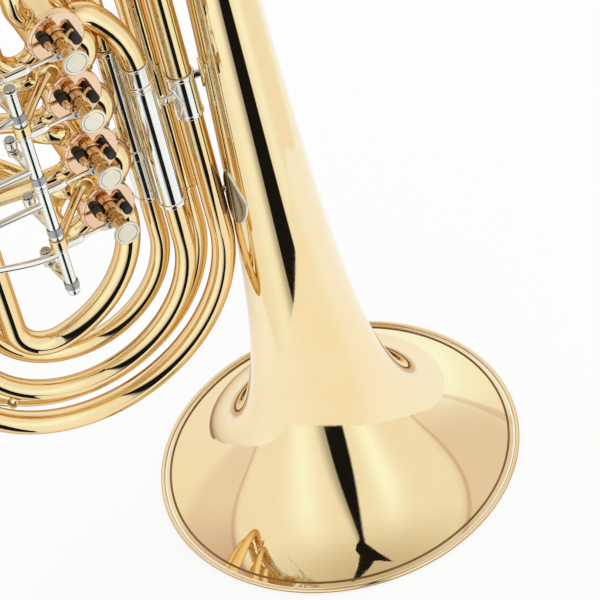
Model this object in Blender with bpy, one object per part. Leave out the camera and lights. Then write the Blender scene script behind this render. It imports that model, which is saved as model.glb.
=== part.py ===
"""Bass trumpet with four rotary valves, in metres with +Z up.

The bell opens downwards and stands on its rim. Its axis is the vertical line x = 0, y = 0 of
the layout. The valve row stands to the left of the bell (-X), and the valves' bearing plates
face forward (-Y), where the left hand holds the instrument.
"""
import math

import bmesh
import bpy
import numpy as np

for leftover in list(bpy.data.objects):
    bpy.data.objects.remove(leftover)

# Clearances and walls
GAP = 0.0003
WALL = 0.0006
STEP = 0.0004

# Boolean steps run in millimetres about the part's middle, and weld points this near
BOOLEAN_SCALE = 1000.0
WELD = 0.004

# Bell: a tapered tail that opens by an inverse power of the depth
BELL_RADIUS = 0.100
BELL_HEIGHT = 0.405
BELL_SIDES = 32
BELL_RINGS = 13
RIM_WIRE_RADIUS = 0.00115
BELL_TAIL_RADIUS = 0.02157
BELL_TAPER = 0.0187
FLARE_DEPTH = 0.0444
FLARE_POWER = 1.635
RIM_LIFT = 0.0007
BELL_EDGE = 0.0014

# Tube radii (outside)
MAIN_TUBE = 0.00625
TUNING_TUBE = 0.00545
VALVE_TUBE = 0.0050
LEADPIPE_TUBE = 0.0058
MAIN_SIDES = 12
PORT_SIDES = 8
VALVE_SIDES = 8

# Planes in which the branches lie, from front to back
FRONT_Y = -0.006
PORT_Y = -0.004
MIDDLE_Y = 0.007
BACK_Y = 0.020
RISER_Y = 0.038
FIRST_SLIDE_Y = 0.021

# Outer branch: inner leg beside the bell, large bow, outer leg, conical bell bow
INNER_LEG_X = -0.0292
OUTER_BOW_RADIUS = 0.082
OUTER_BOW_Z = 0.188
FERRULE_BOTTOM = 0.2660
FERRULE_TOP = 0.2930
FERRULE_SWELL = 0.0010
BOW_FERRULE = 0.020

# Crossover from the valve exit leg to the inner leg
EXIT_LEG_X = -0.150
EXIT_LEG_JOINT_Z = 0.330
CROSSOVER_Z = 0.395

# Tube out of the fourth valve: arc centre and radius, and the angles at its two ends
EXIT_ARC_X = -0.1343
EXIT_ARC_Z = 0.2332
EXIT_ARC_RADIUS = 0.0565
EXIT_START_ANGLE = 3.0
EXIT_BOSS_TURN = 35.0
EXIT_BOSS_REACH = 0.004
EXIT_TURN_ANGLE = -83.0

# Bend from the tuning sleeve into the first valve
INLET_ARC_Z = 0.318
INLET_ARC_RADIUS = 0.063
INLET_JOINT_ANGLE = 27.0
INLET_LEAD = 6.0
INLET_BEND_ANGLE = 38.0
INLET_BOSS_TURN = 47.0
INLET_BOSS_REACH = 0.0057

# Main tuning slide and leadpipe
TUNING_LEG_X = -0.0533
TUNING_BOW_RADIUS = 0.062
TUNING_BOW_Z = 0.203
TUNING_SLEEVE_BOTTOM = 0.2285
TUNING_SLEEVE_TOP = 0.3206
TUNING_RING_DROP = 0.0141
TUNING_BOW_STEPS = 10
TUNING_LEG_LENGTH = 0.092
LEADPIPE_Y = -0.026
LEADPIPE_BEND_BOTTOM = 0.352
LEADPIPE_BEND_TOP = 0.430
RECEIVER_BOTTOM = 0.500
RECEIVER_LENGTH = 0.068
RECEIVER_RADIUS = 0.0074
RECEIVER_BORE = 0.0061
RECEIVER_BORE_END = 0.0050

# Rotary valves: axes along Y, in a row parallel to Z
VALVE_X = -0.0874
FOURTH_VALVE_Z = 0.2507
VALVE_SPACING = 0.03675
VALVE_COUNT = 4
CASING_RADIUS = 0.0140
CASING_BORE = 0.0123
CASING_FRONT = -0.0120
CASING_BACK = 0.0170
CAP_RADIUS = 0.0128
CAP_DEPTH = 0.0035
CASING_SIDES = 16
PLATE_RADIUS = 0.01415
PLATE_FRONT = -0.0150
PORT_REACH = 0.0146
MAIN_PORT_REACH = 0.0155
STEM_RADIUS = 0.0025
ELBOW_RADIUS = 0.008
BOSS_BEND_RADIUS = 0.010

# Stop arm, bumpers and link
CRANK_RADIUS = 0.0049
HUB_RADIUS = 0.0044
NECK_RADIUS = 0.0021
COLLAR_RADIUS = 0.0036
CAP_DISC_RADIUS = 0.0067
CAP_DISC_FRONT = -0.0375
CAP_DISC_THICKNESS = 0.0015
ARM_FRONT = -0.0200
ARM_THICKNESS = 0.0020
LUG_ANGLE = 31.5
LUG_ROOT = 0.0032
LUG_REACH = 0.0086
LUG_HALF_WIDTH = 0.0008
CRANK_PIN_RADIUS = 0.0009
BUMPER_RADIUS = 0.0025
BUMPER_HEIGHT = 0.0080
RIGHT_BUMPER = (0.0072, 0.0001)
LEFT_BUMPER = (-0.0066, 0.0029)
LINK_RING_RADIUS = 0.0020
LINK_RING_LENGTH = 0.0030
LINK_ROD_RADIUS = 0.0011
LINK_SLEEVE_RADIUS = 0.0025
LINK_SLEEVE_LENGTH = 0.014
LINK_EYE_RADIUS = 0.0032
LINK_EYE_HEIGHT = 0.0040
LINK_EYE_PLAY = 0.0006

# Levers on their hinge rod
HINGE_X = -0.122
SHORT_ARM = 0.020
LEVER_TURN = 20.0
HINGE_ROD_RADIUS = 0.0016
LEVER_HUB_RADIUS = 0.0034
HINGE_ROD_MARGIN = 0.0145
HINGE_HEAD_THICKNESS = 0.0012
LEVER_PIN_RADIUS = 0.0010
SHORT_ARM_THICKNESS = 0.0026
SHORT_ARM_HALF_WIDTH = 0.0024
LINK_DROP = 0.0019
LEVER_ARM_RADIUS = 0.0020
TOUCH_X = -0.182
TOUCH_SPACING = 0.022
TOUCH_LENGTH = 0.020
TOUCH_WIDTH = 0.0178
TOUCH_THICKNESS = 0.0018
POST_RING_HEIGHT = 0.006
POST_RING_RADIUS = 0.0042
POST_ARM_RADIUS = 0.0026
POST_BOSS_X = -0.0970
POST_BOSS_BACK = -0.0096

# Third valve slide
THIRD_LEG_X = -0.0615
THIRD_BOW_RADIUS = 0.0502
THIRD_BOW_Z = 0.203
THIRD_SLEEVE_BOTTOM = 0.2280
THIRD_SLEEVE_TOP = 0.3270
THIRD_LEFT_SLEEVE_TOP = 0.2577
THIRD_COLLAR = (0.256, 0.262)
THIRD_TOP_Z = 0.355
THIRD_RISER_Y = 0.027

# Fourth valve slide
FOURTH_LEG_X = -0.038
FOURTH_BOW_RADIUS = 0.074
FOURTH_BOW_Z = 0.187
FOURTH_SLEEVE_BOTTOM = 0.212
FOURTH_SLEEVE_TOP = 0.345
FOURTH_LEFT_SLEEVE_TOP = 0.318
FOURTH_LEG_LENGTH = 0.110

# Points that the crooks pass through: x, y and the rise above the port that they leave
CROOK_LEAD = 0.006
RISER_LEAD = 0.010
THIRD_CROOK = ((-0.1045, -0.002, 0.0024), (-0.111, 0.007, 0.0028), (-0.109, 0.019, 0.004),
               (-0.098, 0.028, 0.009), (-0.080, 0.029, 0.022), (-0.066, 0.027, 0.040))
FOURTH_LEFT_CROOK = ((-0.1045, -0.002, 0.0024), (-0.112, 0.006, 0.0038),
                     (-0.121, 0.016, 0.0078), (-0.132, 0.020, 0.0188),
                     (-0.147, 0.020, 0.0448), (-0.158, 0.020, 0.0688),
                     (-0.172, 0.020, 0.0823))
FOURTH_RIGHT_CROOK = ((-0.1040, -0.002, -0.0034), (-0.1095, 0.007, -0.0058),
                      (-0.1085, 0.019, -0.0055), (-0.098, 0.0275, -0.003),
                      (-0.080, 0.031, 0.0), (-0.058, 0.036, 0.006), (-0.0425, 0.038, 0.018),
                      (-0.038, 0.038, 0.036))

# First and second valve slides
FIRST_ELBOW_RADIUS = 0.0115
FIRST_SLEEVE_BOTTOM = 0.425
FIRST_SLEEVE_TOP = 0.462
FIRST_BOW_Z = 0.468
SECOND_SLEEVE_START = -0.128
SECOND_SLEEVE_END = -0.146
SECOND_BOW_X = -0.149

# Braces and the water key
BRACE_Z = 0.2885
BRACE_ROD = 0.0018
FOOT_THICKNESS = 0.0008
SLEEVE_BITE = 0.00042
LEFT_STAY_Z = 0.262
LEAF_Z = 0.2115
LEAF_HALF_WIDTH = 0.0105
LEAF_ANGLE = 20.0
LEAF_HALF_HEIGHT = 0.017
WATER_KEY_ANGLE = 228.0
WATER_KEY_HINGE_ANGLE = 216.0
NIPPLE_HEIGHT = 0.0030
NIPPLE_RADIUS = 0.0024
NIPPLE_BORE = 0.0013
KEY_HINGE_HEIGHT = 0.0032
KEY_FOOT = 0.0006
KEY_POST_RADIUS = 0.0014
KEY_BARREL_RADIUS = 0.0019
KEY_BARREL_HALF = 0.0020
KEY_PIN_RADIUS = 0.0008
KEY_CHEEK = 0.0011
KEY_BAR_RADIUS = 0.0011
KEY_TOUCH_RADIUS = 0.0036
KEY_PAD_RADIUS = 0.0030

TUNING_SLEEVE = TUNING_TUBE + GAP + WALL
VALVE_SLEEVE = VALVE_TUBE + GAP + WALL
LEFT_LEG_X = INNER_LEG_X - 2 * OUTER_BOW_RADIUS
TUNING_LEFT_X = TUNING_LEG_X - 2 * TUNING_BOW_RADIUS
THIRD_LEFT_X = THIRD_LEG_X - 2 * THIRD_BOW_RADIUS
FOURTH_LEFT_X = FOURTH_LEG_X - 2 * FOURTH_BOW_RADIUS
CRANK_SIDE = CRANK_RADIUS / math.sqrt(2)
LINK_Y = ARM_FRONT - 0.0004 - LINK_RING_LENGTH / 2
HINGE_Y = LINK_Y - SHORT_ARM * (1 + math.cos(math.radians(LEVER_TURN / 2))) / 2
DIAGONAL = 1 / math.sqrt(2)

BRASS = ("lacquered brass", (0.86, 0.63, 0.28, 1.0), 0.14)
NICKEL = ("nickel silver", (0.84, 0.82, 0.76, 1.0), 0.16)
ROSE_BRASS = ("rose brass", (0.86, 0.52, 0.36, 1.0), 0.12)
STEEL = ("steel", (0.62, 0.62, 0.62, 1.0), 0.22)


def valve_z(number):
    """Height of a valve's axis: the first valve is the highest, the fourth the lowest."""
    return FOURTH_VALVE_Z + (VALVE_COUNT - number) * VALVE_SPACING


def polar(angle):
    """Direction in the XZ plane at an angle in degrees from +X towards +Z."""
    return np.array([math.cos(math.radians(angle)), 0.0, math.sin(math.radians(angle))])


def arc(centre_x, centre_z, radius, start, end, y_start, y_end=None, steps=8):
    """Points of an arc in the XZ plane, angles in degrees from +X, easing from one y to another."""
    share = np.linspace(0.0, 1.0, steps + 1)
    angle = np.radians(start + (end - start) * share)
    y_end = y_start if y_end is None else y_end
    ease = (1 - np.cos(np.pi * share)) / 2
    return np.stack([centre_x + radius * np.cos(angle),
                     y_start + (y_end - y_start) * ease,
                     centre_z + radius * np.sin(angle)], axis=1)


def shift_run(start, end, steps=5):
    """Points of an S-shaped run that leaves and arrives along the longest of its three sides."""
    start, end = np.array(start, float), np.array(end, float)
    share = np.linspace(0.0, 1.0, steps + 1)[:, None]
    ease = (1 - np.cos(np.pi * share)) / 2
    along = np.argmax(np.abs(end - start)) == np.arange(3)
    return start + (end - start) * np.where(along, share, ease)


def smooth_run(points, steps=3):
    """Catmull-Rom curve through the middle points: the first and last only steer its ends."""
    points = np.array(points, float)
    t = (np.arange(steps) / steps)[:, None]
    spans = []
    for before, a, b, after in zip(points, points[1:], points[2:], points[3:]):
        spans.append(a + t * (b - before) / 2
                     + t ** 2 * (2 * before - 5 * a + 4 * b - after) / 2
                     + t ** 3 * (3 * a - before - 3 * b + after) / 2)
    return np.vstack(spans + [points[-2:-1]])


def joined_path(*runs):
    """One path out of several runs, without the points that repeat where they meet."""
    points = np.vstack([np.atleast_2d(run) for run in runs])
    apart = np.linalg.norm(np.diff(points, axis=0), axis=1) > 1e-6
    return points[np.concatenate([[True], apart])]


def swept(path, outer, inner=None, sides=MAIN_SIDES, start=None, end=None):
    """Round bar or, with an inner radius, a tube along a path; radii may change along it.

    A tube of 12 or more sides has a bore of half as many.
    """
    path = np.asarray(path, float)
    steps = np.diff(path, axis=0)
    steps /= np.linalg.norm(steps, axis=1)[:, None]
    tangents = np.vstack([steps[:1], steps[:-1] + steps[1:], steps[-1:]])
    if start is not None:
        tangents[0] = start
    if end is not None:
        tangents[-1] = end
    tangents /= np.linalg.norm(tangents, axis=1)[:, None]
    helper = np.eye(3)[np.argmin(np.abs(tangents[0]))]
    normals = np.empty_like(path)
    normal = helper
    for k, tangent in enumerate(tangents):
        normal = normal - tangent * (normal @ tangent)
        normal = normal / np.linalg.norm(normal)
        normals[k] = normal
    binormals = np.cross(tangents, normals)
    turn = 2 * np.pi * (np.arange(sides) + 0.5) / sides
    spokes = (np.cos(turn)[None, :, None] * normals[:, None, :]
              + np.sin(turn)[None, :, None] * binormals[:, None, :])
    count = len(path)

    def rings(radius, skip=1):
        radius = np.broadcast_to(np.asarray(radius, float), (count,))
        return (path[:, None, :] + radius[:, None, None] * spokes[:, ::skip]).reshape(-1, 3)

    def bands(offset, around):
        return [(offset + k * around + j, offset + k * around + (j + 1) % around,
                 offset + (k + 1) * around + (j + 1) % around, offset + (k + 1) * around + j)
                for k in range(count - 1) for j in range(around)]

    last = (count - 1) * sides
    if inner is None:
        return rings(outer), bands(0, sides) + [tuple(range(sides)),
                                                tuple(range(last, last + sides))]
    size = count * sides
    skip = 2 if sides >= 12 else 1
    around = sides // skip
    rims = []
    for k in (0, count - 1):
        for j in range(around):
            a, b, c = (k * sides + (skip * j + step) % sides for step in (0, 1, 2))
            p, q = size + k * around + j, size + k * around + (j + 1) % around
            rims += [(a, b, q, p)] if skip == 1 else [(a, b, p), (b, q, p), (b, c, q)]
    faces = bands(0, sides) + bands(size, around) + rims
    return np.vstack([rings(outer), rings(inner, skip)]), faces


def turned(profile, base, axis, sides=MAIN_SIDES):
    """Profile of (radius, height) points turned about an axis; radius 0 makes a pole."""
    axis = np.array(axis, float) / np.linalg.norm(axis)
    helper = np.eye(3)[np.argmin(np.abs(axis))]
    side = np.cross(axis, helper)
    side /= np.linalg.norm(side)
    other = np.cross(axis, side)
    turn = 2 * np.pi * (np.arange(sides) + 0.5) / sides
    spokes = np.cos(turn)[:, None] * side + np.sin(turn)[:, None] * other
    points, rings = [], []
    for radius, height in profile:
        centre = np.array(base, float) + axis * height
        first = len(points)
        if radius == 0:
            points.append(centre)
            rings.append([first] * sides)
        else:
            points.extend(centre + radius * spokes)
            rings.append(list(range(first, first + sides)))
    pairs = list(zip(rings, rings[1:]))
    if profile[0][0] != 0:
        pairs.append((rings[-1], rings[0]))
    faces = []
    for lower, upper in pairs:
        for j in range(sides):
            k = (j + 1) % sides
            face = [lower[j], lower[k], upper[k], upper[j]]
            faces.append(tuple(dict.fromkeys(face)))
    return np.array(points), faces


def rod(start, end, radius, sides=VALVE_SIDES):
    """Straight round bar between two points."""
    return swept([start, end], radius, sides=sides)


def block(middle, along, across, height):
    """Box about its middle, from its three half-sides as vectors."""
    corners = [middle + a * along + b * across + c * height
               for c in (-1, 1) for a, b in ((-1, -1), (1, -1), (1, 1), (-1, 1))]
    return np.array(corners), [(0, 1, 2, 3), (4, 5, 6, 7), (0, 1, 5, 4), (1, 2, 6, 5),
                               (2, 3, 7, 6), (3, 0, 4, 7)]


def hollow(radius, bore, bottom, top, rings, x, y, sides=10):
    """Upright sleeve with a through bore; rings are (from, to, swell) bands that stand proud."""
    profile = [(bore, bottom), (radius, bottom)]
    for low, high, swell in sorted(rings):
        profile += [(radius, low), (radius + swell, low + STEP), (radius + swell, high - STEP),
                    (radius, high)]
    profile += [(radius, top), (bore, top)]
    kept = [profile[0]]
    for point in profile[1:]:
        if abs(point[1] - kept[-1][1]) + abs(point[0] - kept[-1][0]) > 1e-6:
            kept.append(point)
    return turned(kept, (x, y, 0), (0, 0, 1), sides)


def curved_foot(centre_x, centre_y, radius_at, facing, middle_z, half_height, half_width,
                pointed_bottom=True):
    """Thin soldered plate that lies on a round wall, pointed at the top and, mostly, below."""
    rows, columns = 7, 5
    height = np.linspace(-1.0, 1.0, rows)
    width = (1 - np.abs(height)) ** 0.7
    if not pointed_bottom:
        width = np.where(height < 0, np.sqrt(np.maximum(0.0, 1 - height ** 2)), width)
    width = np.maximum(width, 0.06) * half_width
    z = middle_z + height * half_height
    across = np.linspace(-1.0, 1.0, columns)
    layers = []
    for lift in (GAP, GAP + FOOT_THICKNESS):
        radius = np.array([radius_at(level) for level in z])[:, None] + lift
        angle = math.radians(facing) + across[None, :] * width[:, None] / radius
        layers.append(np.stack([centre_x + radius * np.cos(angle),
                                centre_y + radius * np.sin(angle),
                                np.broadcast_to(z[:, None], angle.shape)], axis=2))
    points = np.vstack([layer.reshape(-1, 3) for layer in layers])
    size = rows * columns
    faces = []
    for offset in (0, size):
        for row in range(rows - 1):
            for column in range(columns - 1):
                a = offset + row * columns + column
                faces.append((a, a + 1, a + columns + 1, a + columns))
    edge = ([(0, k) for k in range(columns)] + [(k, columns - 1) for k in range(1, rows)]
            + [(rows - 1, k) for k in range(columns - 2, -1, -1)]
            + [(k, 0) for k in range(rows - 2, 0, -1)])
    loop = [row * columns + column for row, column in edge]
    for a, b in zip(loop, loop[1:] + loop[:1]):
        faces.append((a, b, b + size, a + size))
    return points, faces


def closed_mesh(shape):
    """Mesh of a shape with its faces pointing out."""
    points, faces = shape
    mesh = bpy.data.meshes.new("shape")
    mesh.from_pydata(np.asarray(points).tolist(), [], faces)
    work = bmesh.new()
    work.from_mesh(mesh)
    bmesh.ops.recalc_face_normals(work, faces=work.faces)
    if work.calc_volume(signed=True) < 0:
        bmesh.ops.reverse_faces(work, faces=work.faces)
    work.to_mesh(mesh)
    work.free()
    return mesh


def combined(shape, others, operation):
    """Shape after exact Boolean steps with the others: UNION joins, DIFFERENCE cuts."""
    middle = (shape[0].min(axis=0) + shape[0].max(axis=0)) / 2
    solids = []
    for points, faces in (shape, *others):
        mesh = closed_mesh(((points - middle) * BOOLEAN_SCALE, faces))
        solids.append(bpy.data.objects.new("solid", mesh))
        bpy.context.collection.objects.link(solids[-1])
    for tool in solids[1:]:
        modifier = solids[0].modifiers.new("step", "BOOLEAN")
        modifier.operation = operation
        modifier.solver = "EXACT"
        modifier.object = tool
    work = bmesh.new()
    work.from_object(solids[0], bpy.context.evaluated_depsgraph_get())
    bmesh.ops.remove_doubles(work, verts=work.verts, dist=WELD)
    bmesh.ops.dissolve_degenerate(work, edges=work.edges, dist=WELD)
    work.verts.index_update()
    points = np.array([vertex.co[:] for vertex in work.verts]) / BOOLEAN_SCALE + middle
    faces = [tuple(vertex.index for vertex in face.verts) for face in work.faces]
    work.free()
    for item in solids:
        mesh = item.data
        bpy.data.objects.remove(item)
        bpy.data.meshes.remove(mesh)
    return points, faces


def fused(shape, *others):
    return combined(shape, others, "UNION")


def cut(shape, *others):
    return combined(shape, others, "DIFFERENCE")


def make_material(name, finish):
    """Own metal for one sub-part, with the colour and roughness of its finish."""
    label, colour, roughness = finish
    material = bpy.data.materials.new(f"{name} {label}")
    material.use_nodes = True
    shader = material.node_tree.nodes["Principled BSDF"]
    shader.inputs["Base Color"].default_value = colour
    shader.inputs["Roughness"].default_value = roughness
    shader.inputs["Metallic"].default_value = 1.0
    material.diffuse_color = colour
    return material


def add_part(name, shape, finish, pivot=(0.0, 0.0, 0.0)):
    """Named object for one sub-part, with its origin at its pivot."""
    points, faces = shape
    mesh = closed_mesh((np.asarray(points) - np.array(pivot), faces))
    mesh.name = name
    mesh.materials.append(make_material(name, finish))
    mesh.shade_smooth()
    mesh.set_sharp_from_angle(angle=math.radians(38))
    item = bpy.data.objects.new(name, mesh)
    item.location = pivot
    item.parent = instrument
    bpy.context.collection.objects.link(item)
    return item


def bell_radius(height):
    """Outer radius of the bell at a height above the rim plane."""
    depth = height - RIM_LIFT
    spread = BELL_RADIUS - RIM_WIRE_RADIUS - BELL_TAIL_RADIUS
    return BELL_TAIL_RADIUS - BELL_TAPER * depth + spread * (1 + depth / FLARE_DEPTH) ** -FLARE_POWER


def bell_rings():
    """Heights and outer radii of the rings that the bell's wall is drawn through."""
    share = np.linspace(0.0, 1.0, BELL_RINGS)
    height = BELL_EDGE + (BELL_HEIGHT - BELL_EDGE) * share ** 2.2
    return height, np.array([bell_radius(level) for level in height])


def bell_wall(height):
    """Outer radius of the bell's wall as built, between its rings."""
    return float(np.interp(height, *bell_rings()))


def make_bell():
    """Flared bell of sheet brass and the wire that its edge is rolled over."""
    height, radius = bell_rings()
    slope = np.gradient(radius, height)
    slope[0] = (bell_radius(BELL_EDGE + 1e-5) - bell_radius(BELL_EDGE)) / 1e-5
    length = np.sqrt(1 + slope ** 2)
    inner_radius = radius - WALL / length
    inner_height = height + WALL * slope / length
    inner_height[-1] = height[-1]
    profile = list(zip(radius, height)) + list(zip(inner_radius[::-1], inner_height[::-1]))
    add_part("bell", turned(profile, (0, 0, 0), (0, 0, 1), BELL_SIDES), BRASS)

    wire_centre = BELL_RADIUS - RIM_WIRE_RADIUS / math.cos(math.pi / 6)
    corner = RIM_WIRE_RADIUS / math.cos(math.pi / 6)
    angle = np.radians(60.0 * np.arange(6))
    section = [(wire_centre + corner * math.cos(a), RIM_WIRE_RADIUS + corner * math.sin(a))
               for a in angle]
    add_part("bell_rim_wire", turned(section, (0, 0, 0), (0, 0, 1), BELL_SIDES), BRASS)


def make_bell_bow():
    """Conical bow from the bell's tail over to the outer leg, with a ferrule at each end."""
    tail = bell_radius(BELL_HEIGHT)
    bottom = BELL_HEIGHT + GAP
    centre_z = bottom + BOW_FERRULE
    half = -LEFT_LEG_X / 2
    bow = arc(-half, centre_z, half, 0, 180, 0.0, MIDDLE_Y, steps=10)
    right = [(0, 0, bottom), (0, 0, centre_z - STEP)]
    left = [(LEFT_LEG_X, MIDDLE_Y, centre_z - STEP), (LEFT_LEG_X, MIDDLE_Y, bottom)]
    path = joined_path(right, bow, left)
    share = np.linspace(0.0, 1.0, len(bow))
    radii = tail + (MAIN_TUBE - tail) * share ** 0.85
    ferrules = np.array([tail, tail]) + FERRULE_SWELL, np.array([MAIN_TUBE] * 2) + FERRULE_SWELL
    outer = np.concatenate([ferrules[0], radii, ferrules[1]])
    inner = np.concatenate([[tail - WALL] * 2, radii - WALL, [MAIN_TUBE - WALL] * 2])
    add_part("bell_bow", swept(path, outer, inner, sides=14), BRASS)


def make_outer_bow():
    """Inner leg from its ferrule down, the large bow and the outer leg up to the bell bow."""
    joint = (FERRULE_BOTTOM + FERRULE_TOP) / 2
    centre_x = INNER_LEG_X - OUTER_BOW_RADIUS
    path = joined_path((INNER_LEG_X, MIDDLE_Y, joint - GAP / 2),
                       arc(centre_x, OUTER_BOW_Z, OUTER_BOW_RADIUS, 0, -180, MIDDLE_Y, steps=11),
                       (LEFT_LEG_X, MIDDLE_Y, BELL_HEIGHT))
    add_part("outer_bow", swept(path, MAIN_TUBE, MAIN_TUBE - WALL), BRASS)
    bands = [(FERRULE_BOTTOM, FERRULE_BOTTOM + 0.0024, STEP),
             (FERRULE_TOP - 0.0024, FERRULE_TOP, STEP)]
    bore = MAIN_TUBE + GAP
    add_part("inner_leg_ferrule",
             hollow(bore + WALL, bore, FERRULE_BOTTOM, FERRULE_TOP, bands, INNER_LEG_X, MIDDLE_Y,
                    MAIN_SIDES),
             NICKEL)


def make_crossover():
    """Leg from the valve exit up, over the top and down to the inner leg's ferrule."""
    joint = (FERRULE_BOTTOM + FERRULE_TOP) / 2
    radius = (INNER_LEG_X - EXIT_LEG_X) / 2
    start = EXIT_LEG_JOINT_Z
    leg = [(EXIT_LEG_X, FRONT_Y, start), (EXIT_LEG_X, FRONT_Y, start + BOW_FERRULE),
           (EXIT_LEG_X, FRONT_Y, start + BOW_FERRULE + STEP)]
    bow = arc(EXIT_LEG_X + radius, CROSSOVER_Z, radius, 180, 0, FRONT_Y, MIDDLE_Y, steps=10)
    path = joined_path(leg, bow, (INNER_LEG_X, MIDDLE_Y, joint + GAP / 2))
    outer = np.full(len(path), MAIN_TUBE)
    outer[:2] += FERRULE_SWELL
    add_part("crossover_bow", swept(path, outer, MAIN_TUBE - WALL), BRASS)


def make_exit_tube():
    """Tube that leaves the fourth valve downwards and turns up into the exit leg."""
    centre_x, centre_z, radius = EXIT_ARC_X, EXIT_ARC_Z, EXIT_ARC_RADIUS
    reach = math.cos(math.radians(EXIT_TURN_ANGLE))
    rise = math.sin(math.radians(EXIT_TURN_ANGLE))
    turn_radius = (centre_x + radius * reach - EXIT_LEG_X) / (1 + reach)
    turn_x = centre_x + (radius - turn_radius) * reach
    turn_z = centre_z + (radius - turn_radius) * rise
    path = joined_path(
        arc(centre_x, centre_z, radius, EXIT_START_ANGLE, EXIT_TURN_ANGLE, PORT_Y, FRONT_Y,
            steps=6),
        arc(turn_x, turn_z, turn_radius, EXIT_TURN_ANGLE, -180, FRONT_Y, steps=4),
        (EXIT_LEG_X, FRONT_Y, EXIT_LEG_JOINT_Z - GAP))
    angle = math.radians(EXIT_START_ANGLE)
    start = (math.sin(angle), 0, -math.cos(angle))
    add_part("valve_exit_tube", swept(path, MAIN_TUBE, MAIN_TUBE - WALL, start=start), BRASS)


def make_leadpipe():
    """Leadpipe that bends forward past the bell bow, and the receiver for the mouthpiece."""
    bottom = TUNING_SLEEVE_TOP + GAP
    path = joined_path((TUNING_LEFT_X, FRONT_Y, bottom),
                       shift_run((TUNING_LEFT_X, FRONT_Y, LEADPIPE_BEND_BOTTOM),
                                 (TUNING_LEFT_X, LEADPIPE_Y, LEADPIPE_BEND_TOP), steps=5),
                       (TUNING_LEFT_X, LEADPIPE_Y, RECEIVER_BOTTOM - GAP))
    outer = np.linspace(MAIN_TUBE, LEADPIPE_TUBE, len(path))
    add_part("leadpipe", swept(path, outer, outer - WALL), BRASS)

    top = RECEIVER_BOTTOM + RECEIVER_LENGTH
    swell = RECEIVER_RADIUS + 0.0010
    profile = [(RECEIVER_BORE_END, RECEIVER_BOTTOM), (RECEIVER_RADIUS - 0.0008, RECEIVER_BOTTOM),
               (RECEIVER_RADIUS, RECEIVER_BOTTOM + 0.006), (RECEIVER_RADIUS, top - 0.018),
               (swell, top - 0.017), (swell, top - 0.014), (RECEIVER_RADIUS, top - 0.013),
               (RECEIVER_RADIUS, top - 0.004), (swell, top - 0.003), (swell, top),
               (RECEIVER_BORE, top)]
    add_part("mouthpiece_receiver",
             turned(profile, (TUNING_LEFT_X, LEADPIPE_Y, 0), (0, 0, 1), 12), NICKEL)


def make_tuning_slide():
    """Two ringed outer sleeves and the slide bow whose legs run in them."""
    ring_z = TUNING_SLEEVE_TOP - TUNING_RING_DROP
    rings = [(TUNING_SLEEVE_BOTTOM, TUNING_SLEEVE_BOTTOM + 0.003, 0.0008),
             (ring_z - 0.0016, ring_z + 0.0028, 0.0009),
             (TUNING_SLEEVE_TOP - 0.0018, TUNING_SLEEVE_TOP, 0.0007)]
    bore = TUNING_TUBE + GAP
    right, left = (hollow(TUNING_SLEEVE, bore, TUNING_SLEEVE_BOTTOM, TUNING_SLEEVE_TOP, rings, x,
                          FRONT_Y) for x in (TUNING_LEG_X, TUNING_LEFT_X))
    add_part("tuning_sleeve_right", right, NICKEL)
    sleeve_at = np.array([TUNING_LEFT_X, FRONT_Y, LEFT_STAY_Z])
    leg_at = np.array([LEFT_LEG_X, MIDDLE_Y, LEFT_STAY_Z])
    way = (leg_at - sleeve_at) / np.linalg.norm(leg_at - sleeve_at)
    facing = math.degrees(math.atan2(-way[1], -way[0]))
    foot = curved_foot(LEFT_LEG_X, MIDDLE_Y, lambda z: MAIN_TUBE, facing, LEFT_STAY_Z, 0.008,
                       0.0045)
    bar = stay(sleeve_at + way * (TUNING_SLEEVE - SLEEVE_BITE),
               leg_at - way * (MAIN_TUBE + GAP + FOOT_THICKNESS / 2))
    add_part("tuning_sleeve_left", fused(left, bar, foot), NICKEL)
    top = TUNING_BOW_Z + TUNING_LEG_LENGTH
    centre_x = TUNING_LEG_X - TUNING_BOW_RADIUS
    path = joined_path((TUNING_LEG_X, FRONT_Y, top),
                       arc(centre_x, TUNING_BOW_Z, TUNING_BOW_RADIUS, 0, -180, FRONT_Y,
                           steps=TUNING_BOW_STEPS),
                       (TUNING_LEFT_X, FRONT_Y, top))
    slide = swept(path, TUNING_TUBE, TUNING_TUBE - WALL)
    centre = np.array([centre_x, FRONT_Y, TUNING_BOW_Z])
    out = polar(WATER_KEY_ANGLE)
    top = TUNING_BOW_RADIUS + TUNING_TUBE + NIPPLE_HEIGHT
    nipple = rod(centre + out * key_root(WATER_KEY_ANGLE), centre + out * top, NIPPLE_RADIUS)
    drain = rod(centre + out * TUNING_BOW_RADIUS, centre + out * (top + STEP), NIPPLE_BORE)
    hinge = key_hinge()
    across = np.array([0, KEY_BARREL_HALF, 0])
    post = rod(centre + polar(WATER_KEY_HINGE_ANGLE) * key_root(WATER_KEY_HINGE_ANGLE), hinge,
               KEY_POST_RADIUS)
    barrel = rod(hinge - across, hinge + across, KEY_BARREL_RADIUS, 10)
    pin_hole = rod(hinge - across * 1.5, hinge + across * 1.5, KEY_PIN_RADIUS + GAP)
    slide = cut(fused(slide, nipple, post, barrel), drain, pin_hole)
    add_part("tuning_slide", slide, BRASS, pivot=(centre_x, FRONT_Y, TUNING_BOW_Z))


def key_root(angle):
    """Distance from the tuning bow's centre to a root sunk in its faceted wall at an angle."""
    step = 180.0 / TUNING_BOW_STEPS
    aside = angle % step - step / 2
    chord = TUNING_BOW_RADIUS * math.cos(math.radians(step / 2)) / math.cos(math.radians(aside))
    return chord + TUNING_TUBE * math.cos(math.pi / MAIN_SIDES) - KEY_FOOT


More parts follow.
